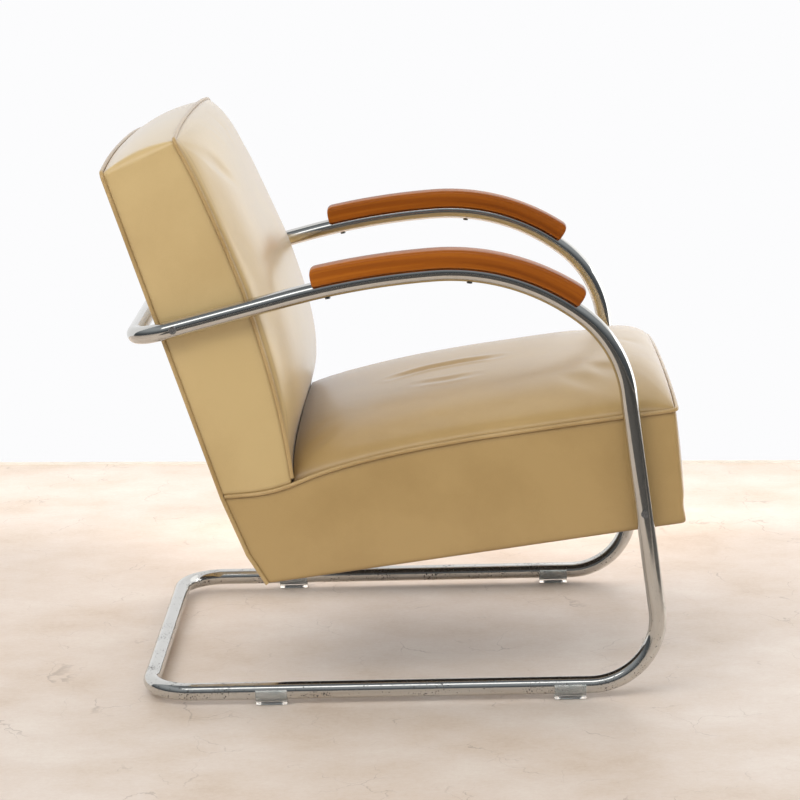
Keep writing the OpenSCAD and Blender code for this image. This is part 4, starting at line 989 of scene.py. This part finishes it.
boxing = {
    "fold": 5, "foldSoft": 11, "topCrown": 8, "thick": 4, "inset": 4.1, "seamDrop": 1.5,
    "columns": 22, "sideSteps": 70, "foldSteps": 7, "topSteps": 76, "skinGap": 0.4, "coreGap": 0.5,
    "sidePuff": 2.4, "topPuff": 1.8, "puffCurve": 8, "sideWave": (85, 1.2, 0.9), "topCurve": 0.9,
    "rearSearch": (-70, 10), "frontSearch": (20, 80),  # along the seat line, where the foot is looked for
}


def toBack(place):
    # side view place to the back's own [up, forward]
    forward, up = turned(place - backOrigin, -body["backTilt"])
    return np.array((up, forward))


def solve(low, high, miss):
    for _ in range(50):
        middle = (low + high) / 2
        if miss(middle) > 0:
            high = middle
        else:
            low = middle
    return (low + high) / 2


def footPlace(along):
    return toBack(seatPlace(along, seatLine(along) + boxing["seamDrop"]))


footRear = solve(*boxing["rearSearch"], lambda a: footPlace(a)[1] - boxing["inset"])
footFront = solve(*boxing["frontSearch"],
                  lambda a: footPlace(a)[1] - backLine(footPlace(a)[0]) + boxing["seamDrop"])
boxingTop = backLength - boxing["fold"]
boxingFront = backLine(boxingTop) - boxing["seamDrop"]
rearFoot, frontFoot = footPlace(footRear), footPlace(footFront)
rearHead = np.array((backTop(boxing["inset"]) - boxing["fold"], boxing["inset"]))
frontHead = np.array((boxingTop, boxingFront))


def topPlace(f):
    # the top is stuffed: it arches between its two seams, and rolls softly over into the sides
    forward = boxing["inset"] + (boxingFront - boxing["inset"]) * f
    rise = math.sin(math.pi * f)
    up = backTop(forward) + boxing["topCrown"] * rise ** boxing["topCurve"]
    return up, forward, boxing["fold"] + boxing["foldSoft"] * rise


def sidePlace(u, f):
    # a patch between the foot, the top and the two seams
    up, forward, radius = topPlace(f)
    frontUp = frontFoot[0] + (boxingTop - frontFoot[0]) * u
    rear = rearFoot + (rearHead - rearFoot) * u
    front = np.array((frontUp, backLine(frontUp) - boxing["seamDrop"]))
    foot = footPlace(footRear + (footFront - footRear) * f)
    head = np.array((up - radius, forward))
    flat = (1 - u) * ((1 - f) * rearFoot + f * frontFoot) + u * ((1 - f) * rearHead + f * frontHead)
    return (1 - f) * rear + f * front + (1 - u) * foot + u * head - flat


def boxingPair(station, f):
    kind, sign, value = station
    if kind == "side":
        up, forward = sidePlace(value, f)
        puff = boxing["sidePuff"] * puffed(f) * (1 - abs(2 * value - 1) ** boxing["puffCurve"])
        puff += wobble(boxing["sideWave"], up, f, 2 * sign) * math.sin(math.pi * f)
        return (at(backPlace(up, forward), sign * (halfBody - boxing["skinGap"] + puff)),
                at(backPlace(up, forward), sign * (halfCore - boxing["coreGap"])))
    top, forward, radius = topPlace(f)
    reach = halfBody - radius
    if kind == "middle":
        across = reach * value
        up = top + body["topRise"] * (arch(across) - arch(reach))
        puff = boxing["topPuff"] * puffed(f) * hump(value)
        return at(backPlace(up + puff, forward), across), at(backPlace(up - boxing["thick"], forward), across)
    c, s = math.cos(math.radians(value)), math.sin(math.radians(value))
    base, inside = top - radius, radius - boxing["thick"]
    return (at(backPlace(base + radius * s, forward), sign * (reach + (radius - boxing["skinGap"]) * c)),
            at(backPlace(base + inside * s, forward), sign * (reach + inside * c)))


boxingStations = stationsRound(boxing["sideSteps"], boxing["foldSteps"], boxing["topSteps"])
backBoxing = closedPad("backBoxing", skins(boxingStations, boxing["columns"], boxingPair), 1,
                       finish["backLeatherLit"])[0]
refine(backBoxing)
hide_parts("back_boxing")
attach(backBoxing, "chair")
print("back boxing made")


panel = {
    "half": 266, "bulge": 3.2, "rows": 90, "columns": 70, "thick": 2.6, "topGap": 1.5,
    "bendOver": 30,  # length over which the panel turns at a bend
    "wave": (120, 1, 0.9), "waveRun": 140, "bulgeCurve": 0.5, "riseCurve": 6,
    "tacks": 12, "tackPitch": 40, "tackInset": 4.5, "dimple": 0.9, "dimpleWidth": 7,
}
panelTop = backTop(0) - 2 * pipingRadius - body["pipingGap"]
tackUps = [panelTop - panel["tackInset"] - i * panel["tackPitch"] for i in range(panel["tacks"])]
panelEdge = [rearEdge(0), rearEdge(1), rearEdge(2), backPlace(backTop(0) - panel["topGap"], 0)]
panelSides = [b - a for a, b in zip(panelEdge, panelEdge[1:])]
panelRuns = np.concatenate([[0.0], np.cumsum([np.linalg.norm(d) for d in panelSides])])


def panelStation(share):
    # up the seat's rear edge, round the bend and up the back: the run, its place and the way outwards
    run = panelRuns[-1] * share
    base = np.array([float(np.interp(run, panelRuns, [p[n] for p in panelEdge])) for n in (0, 1)])
    ways = [np.array((-d[1], d[0])) / np.linalg.norm(d) for d in panelSides]
    way = ways[min(2, int(np.searchsorted(panelRuns, run, side="right")) - 1)]
    for turn in (1, 2):
        t = (run - panelRuns[turn]) / panel["bendOver"] + 0.5
        if 0 <= t <= 1:
            way = ways[turn - 1] * (1 - t) + ways[turn] * t
    return run, base, way / np.linalg.norm(way)


def panelPair(station, share):
    run, base, way = station
    side = spread(share)
    across, up = panel["half"] * side, run - panelRuns[2]
    rise = body["topRise"] * arch(across) * max(0.0, up / (panelRuns[3] - panelRuns[2])) ** panel["riseCurve"]
    swell = math.sin(math.pi * min(1, run / panelRuns[-1])) ** panel["bulgeCurve"]
    lift = panel["bulge"] * hump(side) * swell
    lift += wobble(panel["wave"], across, run / panel["waveRun"], 7) * hump(side)
    for tackUp in tackUps:
        gap = math.hypot(abs(across) - (halfCore - panel["tackInset"]), up - tackUp)
        lift -= panel["dimple"] * math.exp(-(gap / panel["dimpleWidth"]) ** 2)
    place = base + turned((0, rise), body["backTilt"])
    return at(place + way * lift, across), at(place - way * panel["thick"], across)


panelStations = [panelStation(share) for share in evenly(panel["rows"])]
rearPanel = closedPad("rearPanel", skins(panelStations, panel["columns"], panelPair), 1,
                      finish["backLeatherLit"])[0]
refine(rearPanel)
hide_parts("rear_panel")
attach(rearPanel, "chair")
print("rear panel made")


piping = {
    "radius": 3, "sides": 12, "step": 5, "proud": 1.1, "cornerSteps": 9, "acrossSteps": 52,
    "seatRear": -36.3, "backFoot": -3, "topGap": 0.3, "kinkSteps": 12,
}
# round the corner and on to the middle: each place's distance across, and its share of the corner's turn
cornerAcross = [(pipingSide - body["pipingCorner"] * (1 - c), s) for c, s in quarter(piping["cornerSteps"])]
cornerAcross += [(across, 1.0) for across in
                 np.linspace(pipingSide - body["pipingCorner"], 0, piping["acrossSteps"])[1:]]


def seatPipingRoute():
    last = topFront - body["pipingCorner"]
    route = [at(seatPlace(a, seatLine(a)), pipingSide)
             for a in np.arange(piping["seatRear"], last, piping["step"])]
    for across, part in cornerAcross:
        along = last + (body["pipingCorner"] + piping["proud"]) * part + body["frontBow"] * arch(across)
        route.append(at(seatPlace(along, seatLine(along) + body["frontRise"] * arch(across)), across))
    return route


def backPipingRoute(first, last, forward):
    last -= body["pipingCorner"]
    route = [at(backPlace(u, forward(u)), pipingSide) for u in np.arange(first, last, piping["step"])]
    for across, part in cornerAcross:
        up = last + body["pipingCorner"] * part
        over = up + piping["proud"] * part + body["topRise"] * arch(across)
        route.append(at(backPlace(over, forward(up)), across))
    return route


panelFace = body["rearPanel"]
kink = []
for low, high in ((0, 1), (1, 2)):
    p, q = rearEdge(low, panelFace), rearEdge(high, panelFace)
    kink += [at(p + (q - p) * t, pipingSide) for t in np.linspace(0, 1, piping["kinkSteps"])[:-1]]
pipingRuns = (
    ("seatPiping", "seat_piping", seatPipingRoute()),
    ("backPipingFront", "back_piping_front",
     backPipingRoute(piping["backFoot"], backLength - piping["topGap"], backLine)),
    ("backPipingRear", "back_piping_rear",
     kink + backPipingRoute(0, backTop(panelFace) - piping["topGap"], lambda up: panelFace)),
)
for name, node, route in pipingRuns:
    piece = roundPiece(name, mirrored(route), piping["radius"], piping["sides"], finish["pipingLeather"])
    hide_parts(node)
    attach(piece, "chair")
print("piping sewn in")


tacks = {"diameter": 4.4, "height": 1.1, "proud": 0.2}


def tackTree():
    tree, start = newTree("tackHeads", {"Places": "Geometry", "Head diameter": "Float",
                                        "Head height": "Float", "Outward": "Vector", "Finish": "Material"})
    ball = addNode(tree, "GeometryNodeMeshUVSphere", {"Segments": 14, "Rings": 8, "Radius": 1.0})
    half = addNode(tree, "ShaderNodeMath", {0: start.outputs["Head diameter"], 1: 0.5}, operation="MULTIPLY")
    size = addNode(tree, "ShaderNodeCombineXYZ", {"X": half, "Y": half, "Z": start.outputs["Head height"]})
    turn = addNode(tree, "FunctionNodeAlignRotationToVector", {"Vector": start.outputs["Outward"]}, axis="Z")
    heads = addNode(tree, "GeometryNodeInstanceOnPoints",
                    {"Points": start.outputs["Places"], "Instance": ball, "Rotation": turn, "Scale": size})
    endTree(tree, heads, start.outputs["Finish"])
    return tree


tackPlaces = [at(backPlace(up, tacks["proud"]), side * (halfCore - panel["tackInset"]))
              for up in tackUps for side in (-1, 1)]
rearTacks = meshPiece("rearTacks", tackPlaces, [], None)
runTree(rearTacks, tackTree(), {"Head diameter": tacks["diameter"] * mm, "Head height": tacks["height"] * mm,
                                "Outward": tuple(intoBack), "Finish": finish["tack"]})
smooth(rearTacks)
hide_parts("rear_tacks")
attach(rearTacks, "chair")
print("tacks driven")


studio = {
    "reach": 6000, "wallLeft": (-6000, 1550), "wallRight": (6000, 657),  # askew, as the camera sees the wall
    "wallHeight": 5000, "joint": 3, "jointHeight": 5,
    # a dark cloth on the floor in front and to the right, which only the metal and the gloss see
    "clothHeight": 2, "clothCorners": ((-700, -5000), (5000, -5000), (5000, -950), (-700, -1100),
                                       (1100, -950), (5000, 450), (1250, 450)),
    "white": "#FCFCFD",
}


def makeFloor():
    # trowelled pale screed, sealed: cloudy stains a hand wide and a few hairline marks
    material, tree = newMaterial("paleScreed")
    place = addNode(tree, "ShaderNodeTexCoord").outputs["Object"]
    drawn = addNode(tree, "ShaderNodeMapping", {"Vector": place, "Scale": (1.0, 1.35, 1.0)})
    cloud = addNode(tree, "ShaderNodeTexNoise",
                    {"Vector": drawn, "Scale": 5.0, "Detail": 10.0, "Roughness": 0.6})
    fine = addNode(tree, "ShaderNodeTexNoise",
                   {"Vector": drawn, "Scale": 110.0, "Detail": 6.0, "Roughness": 0.85})
    both = addNode(tree, "ShaderNodeMath", {0: fine, 1: 0.55, 2: cloud}, operation="MULTIPLY_ADD")
    tone = addNode(tree, "ShaderNodeValToRGB", {"Fac": both},
                   stops=((0.56, "#CFBCA9"), (0.70, "#D8C8B8"), (0.82, "#DDCFC2"), (0.98, "#E4D9CD")))
    # hairline cracks, drawn about a millimetre wide so that they show
    warp = addNode(tree, "ShaderNodeTexNoise", {"Vector": place, "Scale": 9.0, "Detail": 5.0})
    bent = addNode(tree, "ShaderNodeVectorMath",
                   {0: warp.outputs["Color"], 1: (0.16, 0.16, 0.0), 2: place}, operation="MULTIPLY_ADD")
    cracks = addNode(tree, "ShaderNodeTexVoronoi", {"Vector": bent, "Scale": 10.0},
                     feature="DISTANCE_TO_EDGE")
    line = addNode(tree, "ShaderNodeMapRange",
                   {"Value": cracks.outputs["Distance"], "From Min": 0.002, "From Max": 0.009,
                    "To Min": 0.4, "To Max": 0.0})
    broken = addNode(tree, "ShaderNodeMapRange", {"Value": warp, "From Min": 0.5, "From Max": 0.62})
    shown = addNode(tree, "ShaderNodeMath", {0: line, 1: broken}, operation="MULTIPLY")
    colour = addNode(tree, "ShaderNodeMix", {0: shown, 6: tone, 7: "#8F7B6C"}, data_type="RGBA")
    shader = addNode(tree, "ShaderNodeBsdfPrincipled", {"Base Color": colour.outputs[2], "Roughness": 0.42})
    addNode(tree, "ShaderNodeOutputMaterial", {"Surface": shader})
    return material


def makeWall():
    # matt white paint; what the camera and the metal see of it is plain white
    material, tree = newMaterial("mattWhitePaint")
    ray = addNode(tree, "ShaderNodeLightPath")
    direct = addNode(tree, "ShaderNodeMath",
                     {0: ray.outputs["Is Camera Ray"], 1: ray.outputs["Is Glossy Ray"]}, operation="MAXIMUM")
    seen = addNode(tree, "ShaderNodeMath",
                   {0: direct, 1: ray.outputs["Is Transmission Ray"]}, operation="MAXIMUM")
    paint = addNode(tree, "ShaderNodeBsdfDiffuse", {"Color": "#EDEDEF"})
    glow = addNode(tree, "ShaderNodeEmission", {"Color": studio["white"], "Strength": 1.0})
    mixed = addNode(tree, "ShaderNodeMixShader", {0: seen, 1: paint, 2: glow})
    # nothing of it shows from its rear, so that the chair can be looked at from behind
    side = addNode(tree, "ShaderNodeNewGeometry")
    clear = addNode(tree, "ShaderNodeBsdfTransparent")
    faced = addNode(tree, "ShaderNodeMixShader", {0: side.outputs["Backfacing"], 1: mixed, 2: clear})
    addNode(tree, "ShaderNodeOutputMaterial", {"Surface": faced})
    return material


reach, wallLeft, wallRight = studio["reach"], studio["wallLeft"], studio["wallRight"]
floor = meshPiece("floor", [(-reach, -reach, 0), (reach, -reach, 0), (*wallRight, 0), (*wallLeft, 0)],
                  [(0, 1, 2, 3)], makeFloor(), False)
wall = meshPiece("wall", [(*wallLeft, 0), (*wallRight, 0), (*wallRight, studio["wallHeight"]),
                          (*wallLeft, studio["wallHeight"])], [(0, 1, 2, 3)], makeWall(), False)
# the pale joint where the screed meets the wall
jointFoot = [(x, y - studio["joint"]) for x, y in (wallLeft, wallRight)]
jointEdge = [*jointFoot, wallRight, wallLeft]
joint = meshPiece("wallJoint", [(*p, z) for z in (0, studio["jointHeight"]) for p in jointEdge],
                  [(0, 1, 5, 4), (4, 5, 6, 7)], finish["screedJoint"], False)
cloth = meshPiece("studioCloth", [(*p, studio["clothHeight"]) for p in studio["clothCorners"]],
                  [(0, 1, 2, 3), (4, 2, 5, 6)], finish["studioCloth"], False)
cloth.visible_camera = cloth.visible_diffuse = cloth.visible_shadow = cloth.visible_transmission = False


def makeAir():
    # the tube mirrors a grey room and a pale ceiling, and the camera itself sees plain white
    world = bpy.data.worlds.new("studioAir")
    world.use_nodes = True
    tree = world.node_tree
    tree.nodes.clear()
    way = addNode(tree, "ShaderNodeTexCoord").outputs["Generated"]
    height = addNode(tree, "ShaderNodeSeparateXYZ", {"Vector": way}).outputs["Z"]
    level = addNode(tree, "ShaderNodeMapRange", {"Value": height, "From Min": -0.2, "From Max": 1.0})
    room = addNode(tree, "ShaderNodeValToRGB", {"Fac": level},
                   stops=((0.1, "#4A4D50"), (0.3, "#5C6064"), (0.42, "#7D8286"), (0.6, "#A6ABAF"),
                          (0.8, "#B4B9BD"), (0.95, "#7C8084")))
    mirror = addNode(tree, "ShaderNodeBackground", {"Color": room, "Strength": 0.9})
    soft = addNode(tree, "ShaderNodeBackground", {"Color": "#DBDBDB", "Strength": 0.9})
    plain = addNode(tree, "ShaderNodeBackground", {"Color": studio["white"], "Strength": 1.0})
    ray = addNode(tree, "ShaderNodeLightPath")
    seen = addNode(tree, "ShaderNodeMath",
                   {0: ray.outputs["Is Camera Ray"], 1: ray.outputs["Is Transmission Ray"]},
                   operation="MAXIMUM")
    lit = addNode(tree, "ShaderNodeMixShader", {0: ray.outputs["Is Glossy Ray"], 1: soft, 2: mirror})
    air = addNode(tree, "ShaderNodeMixShader", {0: seen, 1: lit, 2: plain})
    addNode(tree, "ShaderNodeOutputWorld", {"Surface": air})
    return world


scene.world = makeAir()

# soft lamps, in metres: place, what they aim at, size, watts, colour, and whether the metal mirrors them
lamps = {
    "windowRight": ((1.9, 0.6, 0.7), (0, 0, 0.1), (1.4, 1.0), 9, "#FFFFFF", True),
    "overhead": ((0.1, -1.75, 2.25), (0, 0, 0.45), (3.0, 0.55), 9.5, "#FFFFFF", True),
    "backPanel": ((0.6, 0.9, 0.75), (0.2, 0, 0.6), (1.9, 0.9), 2.2, "#FFFFFF", True),
    "underFill": ((0.05, 0.72, 0.22), (0.05, -0.1, 0.0), (0.9, 0.2), 1.6, "#FFE6D0", False),
    "sideSoftbox": ((-1.5, -1.9, 2.3), (-0.2, -0.2, 0.5), (2.0, 1.6), 29, "#FFFFFF", False),
    "lowFill": ((0.4, -2.6, 0.45), (0, 0.1, 0), (2.4, 0.5), 5, "#FFFFFF", False),
    "wallWash": ((0, 0.42, 0.8), (0, 1.2, 0.9), (5.0, 0.7), 31, "#FFFFFF", False),
}
for name, (place, aim, size, power, colour, mirror) in lamps.items():
    data = bpy.data.lights.new(name, "AREA")
    data.shape = "RECTANGLE"
    data.size, data.size_y = size
    data.energy = power
    data.color = linear(colour)[:3]
    lamp = bpy.data.objects.new(name, data)
    scene.collection.objects.link(lamp)
    lamp.location = place
    lamp.rotation_euler = (Vector(aim) - Vector(place)).to_track_quat("-Z", "Y").to_euler()
    lamp.visible_camera = False
    lamp.visible_glossy = mirror

# the camera as the photograph was taken, in metres and degrees; the lens and the sensor in millimetres
view = {
    "place": (0.0769, -3.785148, 1.230421), "pitch": 12.7045, "yaw": -1.20033, "roll": -1.47843,
    "lens": 115.6957, "sensor": 36, "farEnd": 60,
}
camera = bpy.data.objects.new("camera", bpy.data.cameras.new("camera"))
scene.collection.objects.link(camera)
camera.data.sensor_width = view["sensor"]
camera.data.lens = view["lens"]
camera.data.clip_end = view["farEnd"]
pitch, yaw, tilt = (math.radians(view[k]) for k in ("pitch", "yaw", "roll"))
ahead = Vector((math.sin(yaw) * math.cos(pitch), math.cos(yaw) * math.cos(pitch), -math.sin(pitch)))
level = Vector((math.cos(yaw), -math.sin(yaw), 0))
above = level.cross(ahead)
right = level * math.cos(tilt) + above * math.sin(tilt)
upward = above * math.cos(tilt) - level * math.sin(tilt)
pose = Matrix((right, upward, -ahead)).transposed().to_4x4()
pose.translation = view["place"]
camera.matrix_world = pose
scene.camera = camera
print("studio ready")
